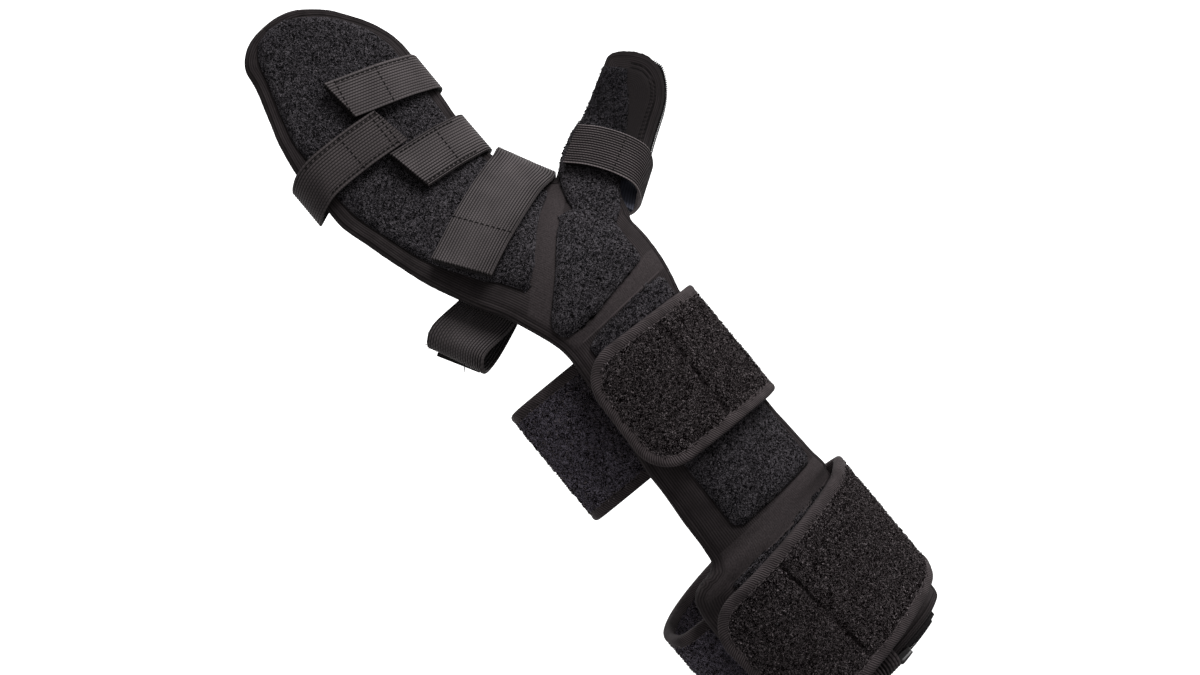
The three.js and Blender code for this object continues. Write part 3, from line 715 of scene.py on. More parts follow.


# cover: knit lines, smooth sewn-on tapes with a thin pale edge, and painted shade in the grooves of the piping round
# the rim and of the seams up the thumb
coverFinish = {
    "deep": warm(0.0045), "pale": warm(0.041), "tapeDeep": warm(0.0155), "tapePale": warm(0.036),
    # groove is the colour of the painted shade in the piping and seam grooves
    "groove": warm(0.0015), "edge": warm(0.04), "shaded": warm(0.0042),
    "grooves": ((1.5, 0.5), (3.4, 0.55)), "seamGrooveWide": 0.75, "edgeWide": 0.4, "pitch": 0.95, "reach": 60.0,
}


def makeCoverFinish(name, plan):
    material, tree, shader = newFinish(name, rough=0.85, specular=0.04, sheen=0.01)
    place, woven = objectPlace(tree), weaveMap(tree)
    knit = useGroup(tree, knitGroup, Map=woven, Place=place, Pitch=plan["pitch"], Reach=plan["reach"])
    depth = split(tree, woven)[1]
    patch = spread(tree, noise(tree, place, 22.0, 3.0), 0.3, 0.7, 0.75, 1.1)
    line = times(tree, knit["Line"], attribute(tree, "lined"))
    shade = weigh(tree, line, 0.65, knit["Grain"], 0.35)
    colour = blend(tree, times(tree, shade, patch), plan["deep"], plan["pale"])
    smooth = blend(tree, spread(tree, knit["Grain"], 0.25, 0.75), plan["tapeDeep"], plan["tapePale"])
    colour = blend(tree, spread(tree, attribute(tree, "tape"), -0.2, 0.2), colour, smooth)
    # painted shade: the piping grooves round the rim (strength set per side by piped) and the seam grooves up the
    # thumb are coloured dark
    for at, wide in plan["grooves"]:
        near = times(tree, nearLine(tree, depth, at, wide), attribute(tree, "piped"))
        colour = blend(tree, near, colour, plan["groove"])
    for column, wide, shade in (("stitched", "seamGrooveWide", "groove"), ("tapeEdge", "edgeWide", "edge")):
        colour = blend(tree, nearLine(tree, attribute(tree, column), 0.0, plan[wide]), colour, plan[shade])
    # painted shade: the cover is blended toward the shaded colour where this share is below 1, on the trough towards
    # the thumb tip
    tree.links.new(blend(tree, attribute(tree, "tone"), plan["shaded"], colour), shader.inputs["Base Color"])
    bump(tree, shader, knit["Height"], 0.45, 0.25)
    return material


finishes["coverKnit"] = makeCoverFinish("coverKnit", coverFinish)


plainFinishes = {
    "hookTape": {"shades": (warm(0.002), warm(0.014)), "grain": 1400.0, "depth": 0.3, "rough": 0.7, "specular": 0.08},
    "thread": {"shades": (warm(0.002), warm(0.008)), "grain": 2500.0, "depth": 0.1, "rough": 0.7, "specular": 0.08},
    "paleThread": {"shades": (warm(0.025), warm(0.1)), "grain": 2500.0, "depth": 0.1, "rough": 0.7, "specular": 0.08},
    "zipCoil": {"shades": ((0.004, 0.0038, 0.004, 1), (0.02, 0.0185, 0.02, 1)), "grain": 900.0, "depth": 0.05,
                "rough": 0.6, "specular": 0.12},
    "zipTape": {"shades": ((0.004, 0.0036, 0.0038, 1), (0.016, 0.0145, 0.015, 1)), "grain": 1500.0, "depth": 0.1,
                "rough": 0.85, "specular": 0.04},
    "zipSlider": {"shades": (warm(0.003), warm(0.009)), "grain": 500.0, "depth": 0.04, "rough": 0.3,
                  "specular": 0.35},
}


def makePlainFinish(name, plan):
    material, tree, shader = newFinish(name, rough=plan["rough"], specular=plan["specular"])
    grain = noise(tree, objectPlace(tree), plan["grain"], 3.0, 0.6)
    tree.links.new(blend(tree, spread(tree, grain, 0.3, 0.7), *plan["shades"]), shader.inputs["Base Color"])
    bump(tree, shader, grain, 0.4, plan["depth"])
    return material


finishes.update({name: makePlainFinish(name, plan) for name, plan in plainFinishes.items()})


def makeLoopFinish(name, dark, pale, specular):
    material, tree, shader = newFinish(name, rough=0.75, specular=specular, sheen=0.0)
    # the curls are dimmed as painted shade above the thumb strap
    shade = times(tree, attribute(tree, "shade"), upThumb(tree))
    tree.links.new(blend(tree, shade, dark, pale), shader.inputs["Base Color"])
    return material


finishes["panelLoops"] = makeLoopFinish("panelLoops", warm(0.0018), warm(0.118, 1.0, 0.91), 0.05)
finishes["velourLoops"] = makeLoopFinish("velourLoops", warm(0.001, 0.6, 0.55), warm(0.25, 0.9, 0.87), 0.0)
print("finishes ready:", len(finishes))


# small shapes that repeat: modelled once, then set down many times in one mesh
def takePattern():
    piece = bpy.context.object
    points = readPoints(piece)
    faces = [list(face.vertices) for face in piece.data.polygons]
    mesh = piece.data
    bpy.data.objects.remove(piece)
    bpy.data.meshes.remove(mesh)
    return points, faces


def modelCurl():
    curl = addShape(bpy.ops.mesh.primitive_cylinder_add, vertices=3, radius=0.175, depth=1 / 3,
                    end_fill_type="TRIFAN")
    points = readPoints(curl)
    foot = np.hypot(points[:, 0], points[:, 1]) < 0.01
    points[foot, 2] *= 3  # draw the ends out to feet
    turn = math.pi * (points[:, 2] + 0.5)  # bend the rod to a standing arch
    arm = 0.5 + points[:, 0]
    curl.data.vertices.foreach_set(
        "co", np.stack([-arm * np.cos(turn), points[:, 1], 1.3 * arm * np.sin(turn)], axis=1).ravel())
    return takePattern()


def modelStitch():
    addShape(bpy.ops.mesh.primitive_ico_sphere_add, subdivisions=1, radius=0.5)
    bpy.ops.object.mode_set(mode="EDIT")
    bpy.ops.mesh.subdivide(number_cuts=1, smoothness=0.6)
    bpy.ops.object.mode_set(mode="OBJECT")
    return takePattern()


def modelTooth():
    addShape(bpy.ops.mesh.primitive_torus_add, major_segments=10, minor_segments=4, major_radius=0.5,
             minor_radius=0.2)
    return takePattern()


curlPattern, stitchPattern, toothPattern = modelCurl(), modelStitch(), modelTooth()


def setDown(name, pattern, origins, ways, ups, sizes, shades=None):
    points, faces = pattern
    ups = unit(ups)
    ways = unit(ways - ups * (ways * ups).sum(1, keepdims=True))
    sides = np.cross(ups, ways)
    sizes = np.broadcast_to(np.asarray(sizes, float), origins.shape)
    turn = np.stack([ways * sizes[:, :1], sides * sizes[:, 1:2], ups * sizes[:, 2:]], axis=1)
    placed = np.einsum("pk,nkj->npj", points, turn) + origins[:, None, :]
    count = len(points)
    mesh = bpy.data.meshes.new(name)
    listed = [[i + count * n for i in face] for n in range(len(origins)) for face in faces]
    mesh.from_pydata((placed.reshape(-1, 3) * mm).tolist(), [], listed)
    mesh.polygons.foreach_set("use_smooth", np.ones(len(mesh.polygons), bool))
    if shades is not None:
        layer = mesh.attributes.new("shade", "FLOAT", "POINT")
        layer.data.foreach_set("value", np.repeat(shades, count))
    piece = bpy.data.objects.new(name, mesh)
    bpy.context.scene.collection.objects.link(piece)
    return piece


curlSpread = {"lean": 0.3, "size": (0.65, 1.35), "squat": (1.0, 1.0, 0.8), "sink": 0.12, "shade": (0.4, 2.2)}


def scatterCurls(name, carrier, density, size, seed, keep):
    mesh = carrier.data
    mesh.calc_loop_triangles()
    corners = np.zeros(len(mesh.loop_triangles) * 3, int)
    mesh.loop_triangles.foreach_get("vertices", corners)
    slots = np.zeros(len(mesh.loop_triangles), int)
    mesh.loop_triangles.foreach_get("material_index", slots)
    points = readPoints(carrier) / mm
    a, b, c = points[corners.reshape(-1, 3)[slots == 0]].transpose(1, 0, 2)
    cross = np.cross(b - a, c - a)
    area = np.linalg.norm(cross, axis=1) / 2
    draw = np.random.default_rng(seed)
    count = int(area.sum() * density)
    pick = draw.choice(len(area), count, p=area / area.sum())
    one, two = np.sqrt(draw.random(count))[:, None], draw.random(count)[:, None]
    origins = a[pick] * (1 - one) + b[pick] * one * (1 - two) + c[pick] * one * two
    ups = unit(unit(cross[pick]) + draw.normal(0, curlSpread["lean"], (count, 3)))
    ways = draw.normal(0, 1, (count, 3))
    sizes = size * draw.uniform(*curlSpread["size"], (count, 1)) * np.array([curlSpread["squat"]])
    origins = origins - ups * curlSpread["sink"]
    shades = draw.beta(*curlSpread["shade"], count)
    held = keep(origins)
    origins, ways, ups, sizes, shades = (x[held] for x in (origins, ways, ups, sizes, shades))
    return setDown(name, curlPattern, origins, ways, ups, sizes, shades)


# padded cover: a rolled-edge loft of the board and one of the trough, fused, then settled and seamed
cover = {
    "voxel": 1.15,
    "settle": 5,
    "rimSeam": (3.4, 0.55, 0.8),  # how far in from the rim, how deep and how wide
    "thumbSeams": ((6.6, 0.6, 0.8), (8.9, 0.45, 0.7)),
    "panelPress": (0.45, 1.6),  # how deep and how wide the cover is pressed in round a panel
    "softness": 0.22,
    "ripple": ((0.21, 0.09, 1.7), (0.16, 0.05)),
    "row": 1.6,
    "tipRows": (0.02, 0.15, 0.5, 1.2, 2.2, 3.6, 5.2, 7.5),
    "thumbFrom": 10,
    "thumbRows": (19, 16, 13, 10.5, 8, 6, 4.4, 3, 1.8, 0.9, 0.3, 0.05),
    "thumbFree": 46,  # from here on the trough stands clear of the board
    "zipSide": -4,
    "stitchedFrom": 58,
    "pipedTo": 94,
    "thumbShade": (22, 12, 0.4),  # painted shade on the trough cover towards the thumb tip: from, over and how much
}


def rolledLoft(name, place, low, high, bottom, top, stations, squeeze):
    flat, roll = 36, 8
    swing = np.linspace(0, math.pi, roll + 1)[1:-1]
    share = np.concatenate([np.linspace(0, 1, flat), np.ones(roll - 1), np.linspace(1, 0, flat),
                            np.zeros(roll - 1)])
    bulge = np.concatenate([np.zeros(flat), np.sin(swing), np.zeros(flat), -np.sin(swing)])
    lift = np.concatenate([np.ones(flat), np.cos(swing), -np.ones(flat), -np.cos(swing)])
    blank, around, along = gridBlank(name, len(share), len(stations) - 1)
    i = np.rint(around * len(share)).astype(int) % len(share)
    j = np.rint(along * (len(stations) - 1)).astype(int)
    inset = np.minimum(board["roll"], (high - low) / 4)
    inset, lo, hi = inset[j], low[j], high[j]
    y = lo + inset + (hi - lo - 2 * inset) * share[i] + inset * bulge[i]
    middle, half = (bottom + top)[j] / 2, (top - bottom)[j] / 2 * squeeze[j]
    placePoints(blank, place(stations[j], y, middle + half * lift[i]))
    closeTube(blank)
    return blank


def coverBlank():
    swing = np.linspace(0, math.pi / 2, 6)
    tip = board["tip"] + np.array(cover["tipRows"])
    lip = board["elbow"] - board["roll"]
    s = np.concatenate([tip, np.arange(board["tip"] + 10, lip - 1, cover["row"]),
                        lip + board["roll"] * np.sin(swing) * 0.999])
    squeeze = np.concatenate([np.ones(len(s) - 6), np.cos(swing) * 0.98 + 0.02])
    low, high = boardEdges(s)
    level = np.ones(len(s))
    main = rolledLoft("board_cover_soft", boardPoint, low, high, board["skin"] * level, board["face"] * level, s,
                      squeeze)
    along = np.concatenate([np.arange(cover["thumbFrom"], thumbLength - 20, cover["row"]),
                            thumbLength - np.array(cover["thumbRows"])])
    left, right = thumbEdges(along)
    level = np.ones(len(along))
    trough = rolledLoft("trough", thumbPoint, left, right, thumbColumn("skin", along), board["face"] * level, along,
                        level)
    selectOnly(main)
    trough.select_set(True)
    bpy.ops.object.join()
    finishWith(main, "REMESH", mode="VOXEL", voxel_size=cover["voxel"] * mm)
    finishWith(main, "SMOOTH", factor=0.5, iterations=cover["settle"])
    return main


def inChunks(points, work):
    return np.concatenate([work(points[begin:begin + 4000]) for begin in range(0, len(points), 4000)])


# where points lie on the board and on the trough: along it, across it and up from it
def boardSpots(points):
    marks = np.arange(-207, 184, 1.5)
    x, z, angle = centreLine(marks)

    def nearest(part):
        dx, dz = part[:, :1] - x, part[:, 2:] - z
        off = dx * np.cos(angle) - dz * np.sin(angle)
        best, pick = np.abs(off).argmin(1), np.arange(len(part))
        out = dx * np.sin(angle) + dz * np.cos(angle)
        return np.stack([marks[best] + off[pick, best], out[pick, best]], 1)

    s, out = inChunks(points, nearest).T
    bow, off = boardColumn("bow", s), points[:, 1] - boardMiddle(s)
    turn = np.arctan2(off, bow + out)
    return s, boardMiddle(s) + (bow + board["face"]) * np.sin(turn), np.hypot(off, bow + out) - bow


def thumbSpots(points):
    marks = np.arange(8, thumbLength + 3, 1.0)
    axis, forward, outward, right = thumbFrame(marks)

    def nearest(part):
        away = part[:, None, :] - axis
        off, across, out = ((away * way).sum(2) for way in (forward, right, outward))
        best, pick = np.abs(off).argmin(1), np.arange(len(part))
        return np.stack([marks[best] + off[pick, best], across[pick, best], out[pick, best]], 1)

    along, across, out = inChunks(points, nearest).T
    bow = thumbColumn("bow", along)
    reach = out + bow + board["face"]
    return along, np.arctan2(across, reach) * (bow + board["face"])


def lineDistance(line, spots):
    return inChunks(spots, lambda part: np.sqrt(((part[:, None, :] - line) ** 2).sum(2).min(1)))


def closedLine(places, low, high):
    ends = [np.stack([np.full(40, places[k]), np.linspace(low[k], high[k], 40)], 1) for k in (0, -1)]
    return np.vstack([np.stack([places, low], 1), np.stack([places, high], 1), *ends])


def insideDepth(spots, places, low, high):
    depth = lineDistance(closedLine(places, low, high), spots)
    inside = (spots[:, 0] > places[0]) & (spots[:, 0] < places[-1])
    inside &= spots[:, 1] > np.interp(spots[:, 0], places, low)
    inside &= spots[:, 1] < np.interp(spots[:, 0], places, high)
    return np.where(inside, depth, -depth)


# outlines of the pile panels on the board and of the strip on the trough
panels = {
    "finger_panel": {
        "run": (-201, -198, -191, -183, -174, -165, -150, -122, -96, -72, -67, -56, -50, -44, -38, -33),
        "low": (-27, -33.5, -38, -40, -42.5, -45, -48, -48, -43, -38, -36.5, -32, -29.5, -26, -23.5, -21.5),
        "high": (-17, -10.5, 0.5, 8.5, 13.8, 16.4, 16.4, 15.5, 17, 24, 24, 10, 2.5, -4, -11, -18.5),
        "flat": (0.072, 0.17), "area": 0.0105},
    "thumb_panel": {
        "run": (-50, -42, -36, -29, -22, -16, -13.5, -11, -9, -7.4),
        "low": (15, 6.5, -0.5, -8.5, -17, -23, -24, -24, -23, -21.5),
        "high": (33.5, 34.5, 33.5, 31, 29, 28, 26.5, 12, 1, -14),
        "flat": (0.062, 0.046), "area": 0.0022},
    "forearm_panel": {
        "run": (-3.4, -1.2, 2, 95.5, 98.5), "low": (20, -12, -18, -19, -16), "high": (28, 30, 30, 30, 27),
        "flat": (0.056, 0.104), "area": 0.0056},
    "elbow_panel": {
        "run": (111.2, 113.8, 170, 173), "low": (18, -34, -34, -31), "high": (31, 32, 32, 29),
        "flat": (0.08, 0.068), "area": 0.0051},
}
thumbStrip = {
    "bare": 0.0,
    "run": (19, 26, 34, 44, 55, 63, 71, 82, 97),
    "low": (-7, -12, -17, -21.5, -24, -23.5, -19, -17.2, -16.4),
    "high": (12, 12, 10.5, 8.5, 6.5, 4.5, 3, 0.5, -4),
    "flat": (0.036, 0.084), "area": 0.0023,
}


def panelEdges(plan, at):
    return smoothColumn(plan["run"], plan["low"], at), smoothColumn(plan["run"], plan["high"], at)


# sewn-on tapes: each a band across the board's face, with a pale line at its far edge unless it is plain
tapes = {
    "cross": {"normal": (0.78, 0.62), "span": (-37.2, -28.0), "plain": True},
    "wrist": {"normal": (0.998, 0.059), "span": (-12.2, -3.0)},
    "forearm": {"normal": (0.9988, 0.049), "span": (99.9, 111.9)},
    "elbow": {"normal": (1.0, 0.0), "span": (171.0, 200.0)},
}


def mark(piece, **columns):
    for name, values in columns.items():
        piece.data.attributes.new(name, "FLOAT", "POINT").data.foreach_set("value", values)


def markTapes(piece, s, y, depth, onFace):
    inside, edge = np.full(len(s), -5.0), np.full(len(s), 9.0)
    for plan in tapes.values():
        near, far = plan["span"]
        across = s * plan["normal"][0] + y * plan["normal"][1]
        found = np.where(onFace, np.minimum(across - near, far - across), -5.0)
        if not plan.get("plain", False):
            edge = np.where((found > np.maximum(inside, -1.2)) & (depth > 8), across - far + 0.3, edge)
        inside = np.maximum(inside, np.minimum(found, depth - 4.2))
    mark(piece, tape=inside, tapeEdge=edge)


def seam(depth, plan):
    at, drop, wide = plan
    return -drop * np.exp(-((depth - at) / wide) ** 2)


def settleCover(piece):
    points = readPoints(piece) / mm
    normals = readPoints(piece, "normal")
    s, y, height = boardSpots(points)
    onFace = np.stack([s, y], 1)
    # closely spaced rows along each outline, closer still at the round ends
    places = np.concatenate([board["tip"] + np.linspace(0.01, 12, 60), np.arange(-191, board["elbow"], 0.7)])
    onBoard = insideDepth(onFace, places, *boardEdges(places))
    onBoard = np.where(np.abs(height - 5) < 6.5, onBoard, -20)
    along, side = thumbSpots(points)
    marks = np.concatenate([np.arange(8, thumbLength - 26, 0.8),
                            thumbLength - np.linspace(1, 0, 60) ** 2 * 26 - 0.02])
    onThumb = insideDepth(np.stack([along, side], 1), marks, *thumbEdges(marks))
    isThumb = onThumb > onBoard
    depth = np.where(isThumb, onThumb, onBoard)
    outer = np.where(isThumb, 1.0, np.clip((height - 6) / 1.5, 0, 1))
    free = isThumb & (along > cover["thumbFree"])
    zipSide = free & (side > cover["zipSide"])
    move = seam(depth, cover["rimSeam"]) * ~free
    for plan in cover["thumbSeams"]:
        move += seam(onThumb, plan) * outer * zipSide
    drop, wide = cover["panelPress"]
    for plan in panels.values():
        rows = np.arange(plan["run"][0], plan["run"][-1], 0.8)
        near = lineDistance(closedLine(rows, *panelEdges(plan, rows)), onFace)
        move -= drop * np.exp(-(near / wide) ** 2) * outer * ~free
    x, across = points[:, 0], points[:, 1]
    (pitch, sway, swing), (pitchAcross, drift) = cover["ripple"]
    ripple = np.sin(x * pitch + swing * np.sin(across * sway)) * np.sin(across * pitchAcross + x * drift)
    placePoints(piece, points + normals * (move + cover["softness"] * ripple)[:, None])
    setWeaveMap(piece, np.where(isThumb, along, s), np.abs(depth))
    markTapes(piece, s, y, depth, (height > 6) & ~isThumb)
    # painted shade: the trough cover darkens towards the thumb tip
    begin, ease, most = cover["thumbShade"]
    dim = np.where(isThumb, most * np.clip((along - begin) / ease, 0, 1), 0.0)
    # where painted shade goes: the seam grooves up the thumb, and the piping grooves with a strength set per side
    stitched = np.min([np.abs(onThumb - plan[0]) for plan in cover["thumbSeams"]], axis=0)
    piped = np.where(isThumb, 0.5, np.where(y > boardMiddle(s), 0.6, 0.2))
    mark(piece, tone=1 - dim, lined=np.where(isThumb, np.clip((11.5 - depth) / 3, 0.12, 1), 1.0),
         piped=np.where(s > cover["pipedTo"], np.minimum(piped, 0.45) * (y > 0), piped),
         stitched=np.where(zipSide & (along > cover["stitchedFrom"]), stitched, 9.0))
    smoothFaces(piece, 180)


# the cover comes first, because the panels are laid on it
coverPiece = coverBlank()
settleCover(coverPiece)
finishPiece(coverPiece, "knit", [finishes["coverKnit"]], "board_cover")
coverTree = BVHTree.FromObject(coverPiece, bpy.context.evaluated_depsgraph_get())
print("cover fused:", len(coverPiece.data.polygons), "faces")


# lining on the inner side of the board and of the trough
lining = {
    "hem": 2.5, "wall": 1.4, "flat": (0.092, 0.378), "area": 0.0252,
    "thumbFrom": 34.0, "thumbHem": 1.2, "thumbSink": 0.4, "thumbFlat": (0.05, 0.072), "thumbArea": 0.0026,
}


def layLining(piece, node, points, run, side, way):
    placePoints(piece, points)
    setWeaveMap(piece, run, side)
    faceOut(piece, way)
    finishWith(piece, "SOLIDIFY", thickness=lining["wall"] * mm, offset=1)
    smoothFaces(piece, 50)
    finishPiece(piece, "lining", [finishes["liningKnit"]], node)


def makeLining():
    piece, across, along = gridBlank("lining_soft", 40, 190)
    s = board["tip"] + 3 + along * (board["elbow"] - board["tip"] - 6)
    low, high = boardEdges(s)
    y = low + lining["hem"] + (high - low - 2 * lining["hem"]) * across
    layLining(piece, "lining", boardPoint(s, y, np.full(len(s), lining["wall"])), s, y, np.array([0, 0, -1]))
    piece, across, along = gridBlank("thumb_lining_soft", 28, 48)
    run = lining["thumbFrom"] + along * (thumbLength - 2.5 - lining["thumbFrom"])
    left = thumbEdges(run)[0] + lining["thumbHem"]
    web = thumbColumn("web", run) * endRound(thumbLength - run, thumb["endRound"][1])
    side = left + (web - left) * across
    layLining(piece, "thumb_lining", thumbPoint(run, side, thumbColumn("skin", run) - lining["thumbSink"]), run, side,
              -thumbFrame(70.0)[2])


makeLining()
print("lining laid")

# loop-pile panels, each laid on the cover where a ray from outside meets it
pile = {"seat": 0.1, "wall": 1.75, "density": 0.75, "curl": 0.9, "fluff": 0.12, "hem": 1.5, "hemDip": 0.6,
        "bare": 1.68, "above": 34.0, "aboveThumb": 24.0, "below": 4.0}


def layOnCover(starts, ends):
    spots = []
    for start, end in zip(starts * mm, ends * mm):
        way = Vector(end - start)
        hit = coverTree.ray_cast(Vector(start), way.normalized(), way.length)
        spots.append(np.array(hit[0]) / mm if hit[0] is not None else end / mm)
    return np.array(spots)


def makePanel(name, plan, place, above, seed):
    long, wide = plan["run"][-1] - plan["run"][0], max(np.subtract(plan["high"], plan["low"]))
    blank, across, along = gridBlank(name + "_soft", int(wide), int(long))
    run = plan["run"][0] + along * long
    low, high = panelEdges(plan, run)
    side = low + (high - low) * across
    starts, ends = (place(run, side, np.full(len(run), height)) for height in (above, pile["below"]))
    seat = layOnCover(starts, ends)
    outward = unit(starts - ends)
    edge = np.minimum(np.minimum(across, 1 - across), np.minimum(along, 1 - along))
    rim = seat[edge < 0.0005]
    full = 1 - pile["hemDip"] * np.exp(-(lineDistance(rim, seat) / pile["hem"]) ** 2)
    fluff = np.random.default_rng(seed).normal(0, pile["fluff"], len(seat)) * (edge > 0.004)
    level = pile["seat"] + pile["wall"] * full + np.clip(fluff, -0.5, 0.6)
    placePoints(blank, seat + outward * level[:, None])
    faceOut(blank, outward.mean(0))
    finishWith(blank, "SOLIDIFY", thickness=pile["wall"] * mm, offset=-1, material_offset=1, material_offset_rim=0)
    smoothFaces(blank, 180)
    finishPiece(blank, "pile", [finishes["loopPanel"], finishes["hookTape"]], name)
    curls = scatterCurls(name + "_curls", blank, pile["density"], pile["curl"], seed + 50,
                         lambda spots: lineDistance(rim, spots) > plan.get("bare", pile["bare"]))
    finishPiece(curls, "pile", [finishes["panelLoops"]])


def makePanels():
    for seed, (name, plan) in enumerate(panels.items()):
        makePanel(name, plan, boardPoint, pile["above"], seed)
    makePanel("thumb_strip", thumbStrip, thumbPoint, pile["aboveThumb"], 9)


makePanels()
print("pile panels laid")

# webbing straps, by the stops of their routes
onHook, onFace, inside = 14.15, 12.15, -3.15  # middle of the webbing over its hook tab, on the board and on the lining
straps = {
    "finger_strap_distal": {
        "width": 18.5, "slant": (0.3, 0.2), "hook": 22, "endHook": 22,
        "seams": [(22, -8, 22, 8), (-22, -8, -22, 8), (-2.2, -8, -2.2, 8), (-5, -8, -5, 8), (-40, -7.6, -3, -7.6),
                  (-40, 7.6, -3, 7.6), (1.8, -8, 1.8, 8), (3, -7.8, 40, -7.8)],
        "stops": [
            faceStop(-156.2, -22.4, onHook + 1), faceStop(-151, 2, onHook), faceStop(-149, 13, onFace),
            faceStop(-147.6, 20, onFace - 1.6), loopStop(-147, 24.6, 1.5), loopStop(-147, 24.6, -8),
            loopStop(-146, 16, -20), loopStop(-142, -15, -25), loopStop(-136, -44, -21), loopStop(-130.5, -56.4, -9),
            loopStop(-131.5, -57, 2), faceStop(-134, -50.5, onFace + 0.4), faceStop(-135.2, -32, onHook),
            faceStop(-135.2, -11.5, onHook)]},
    "finger_strap_middle": {
        "width": 20.5, "slant": (0.25, 0), "hook": 22,
        "seams": [(22, -9, 22, 9), (2, 8.6, 32, 8.6), (2, -8.6, 32, -8.6)],
        "stops": [
            faceStop(-114.3, -18.2, onHook + 1.2), faceStop(-113.5, 3, onHook), faceStop(-113, 12.5, onFace + 0.5),
            faceStop(-112.7, 18.8, onFace - 0.8), loopStop(-112.5, 24, 1.5), loopStop(-112.5, 24, -9),
            loopStop(-113, 14, -21), loopStop(-113, -12, -25), loopStop(-113, -27, -20), loopStop(-113, -33, -10),
            faceStop(-113, -37, inside - 0.6), faceStop(-113, -47, inside)]},
    "palm_strap": {
        "width": 28, "hook": 22, "tail": (76, 54),
        "seams": [(22, -13, 22, 13)],
        "looseSpots": [(190, -13.8), (192, -13.5), (199, 4)],
        "looseWays": [(-0.5, -0.6, -0.1), (-0.1, -0.6, -0.3), (0.6, -0.5, 0.2)],
        "looseLengths": (5.0, 3.5, 6.0),
        "stops": [
            faceStop(-57.5, -32, onHook + 1.4), faceStop(-66.2, -12, onHook), faceStop(-76.6, 12, onHook),
            faceStop(-82, 24, onHook - 0.5), loopStop(-86.5, 31, 3.5, 0.37), loopStop(-86.5, 32, -9, 0.37),
            loopStop(-83, 25, -24, 0.3), loopStop(-65, -8, -31, 0.2), loopStop(-49, -42, -29, 0.25),
            loopStop(-42.8, -54.5, -20, 0.22), loopStop(-44.5, -52, -13.5, 0.22), faceStop(-46.8, -37, inside - 2.2),
            faceStop(-48, -24, inside - 1), faceStop(-48, -14, inside - 1)]},
    "thumb_strap": {
        "width": 20, "hook": 16, "front": -1, "finish": "thumbWebbing",
        "seams": [(23, -9, 23, 9)],
        "stops": [
            thumbStop(52.5, -15, onHook + 0.2), thumbStop(52, -6, onHook), thumbStop(51.5, 4, onHook),
            thumbStop(51, 12, onHook - 0.5), ringStop(50.5, 17.6, -4), ringStop(50, 18.6, -12),
            ringStop(50, 15.5, -22), ringStop(50, 8, -29), ringStop(50, -3, -30), ringStop(50.5, -11.5, -26),
            ringStop(51, -14, -18), ringStop(51.5, -11.5, -13), ringStop(52, -8, -10.6), ringStop(52, -3, -9)]},
}
webbing = {"wall": 1.3, "ribPitch": 1.25, "ribRise": 0.13, "row": 2.0, "slantReach": 30, "hookWall": 1.6,
           "hookDrop": 2.0, "hookHem": 0.6, "tailWidth": 20, "stitch": 2.2, "stitchSize": (1.9, 0.6, 0.45),
           "stitchLift": 0.84, "looseWide": 0.07}


def ribbonPiece(name, path, width, wall, begin, end, columns, rows, lift=0.0, rise=0.0, pitch=1.5, slant=(0, 0),
                rim=0):
    piece, across, along = gridBlank(name, columns, rows)
    u = begin + along * (end - begin)
    v = (across - 0.5) * width
    u = u + slant[0] * v * np.clip(1 - u / webbing["slantReach"], 0, 1) + slant[1] * v * np.clip(
        1 - (path["length"] - u) / webbing["slantReach"], 0, 1)
    w = lift + rise * np.cos(2 * math.pi * v / pitch)
    placePoints(piece, onRibbon(path, u, v, w))
    setWeaveMap(piece, v, u)
    faceOut(piece, ribbonOut(path, u))
    finishWith(piece, "SOLIDIFY", thickness=wall * mm, offset=0, material_offset_rim=rim)
    return piece


def makeHook(node, path, width, wall, begin, end, cells, lift, slant=(0, 0)):
    hook = ribbonPiece(node + "_soft", path, width, wall, begin, end, cells, cells, lift=lift, slant=slant)
    smoothFaces(hook)
    finishPiece(hook, "hook", [finishes["hookTape"]], node)


def stitchRow(name, path, u, v, ways, lift):
    origins = onRibbon(path, u, v, np.full(len(u), lift))
    forward, wide = follow(path["run"], path["forward"], u), follow(path["run"], path["wide"], u)
    along = forward * ways[0] + wide * ways[1]
    piece = setDown(name, stitchPattern, origins, along, np.cross(wide, forward), webbing["stitchSize"])
    return finishPiece(piece, "webbing", [finishes["thread"]])


def looseThreads(name, path, plan):
    u, v = np.array(plan["looseSpots"], float).T
    ways, long = np.array(plan["looseWays"]), np.array(plan["looseLengths"])[:, None]
    origins = onRibbon(path, u, v, np.zeros(len(u))) + unit(ways) * long * 0.4
    ups = np.tile([0.0, 0.3, 1.0], (len(u), 1))
    sizes = long * np.array([[1, webbing["looseWide"], webbing["looseWide"]]])
    piece = setDown(name, stitchPattern, origins, ways, ups, sizes)
    return finishPiece(piece, "webbing", [finishes["thread"]])


def turnOver(piece, after):  # the strap shows its other side from here on
    layer = piece.data.uv_layers["weave"].data
    for face in piece.data.polygons:
        if layer[face.loop_start].uv[1] > after:
            face.material_index = 1


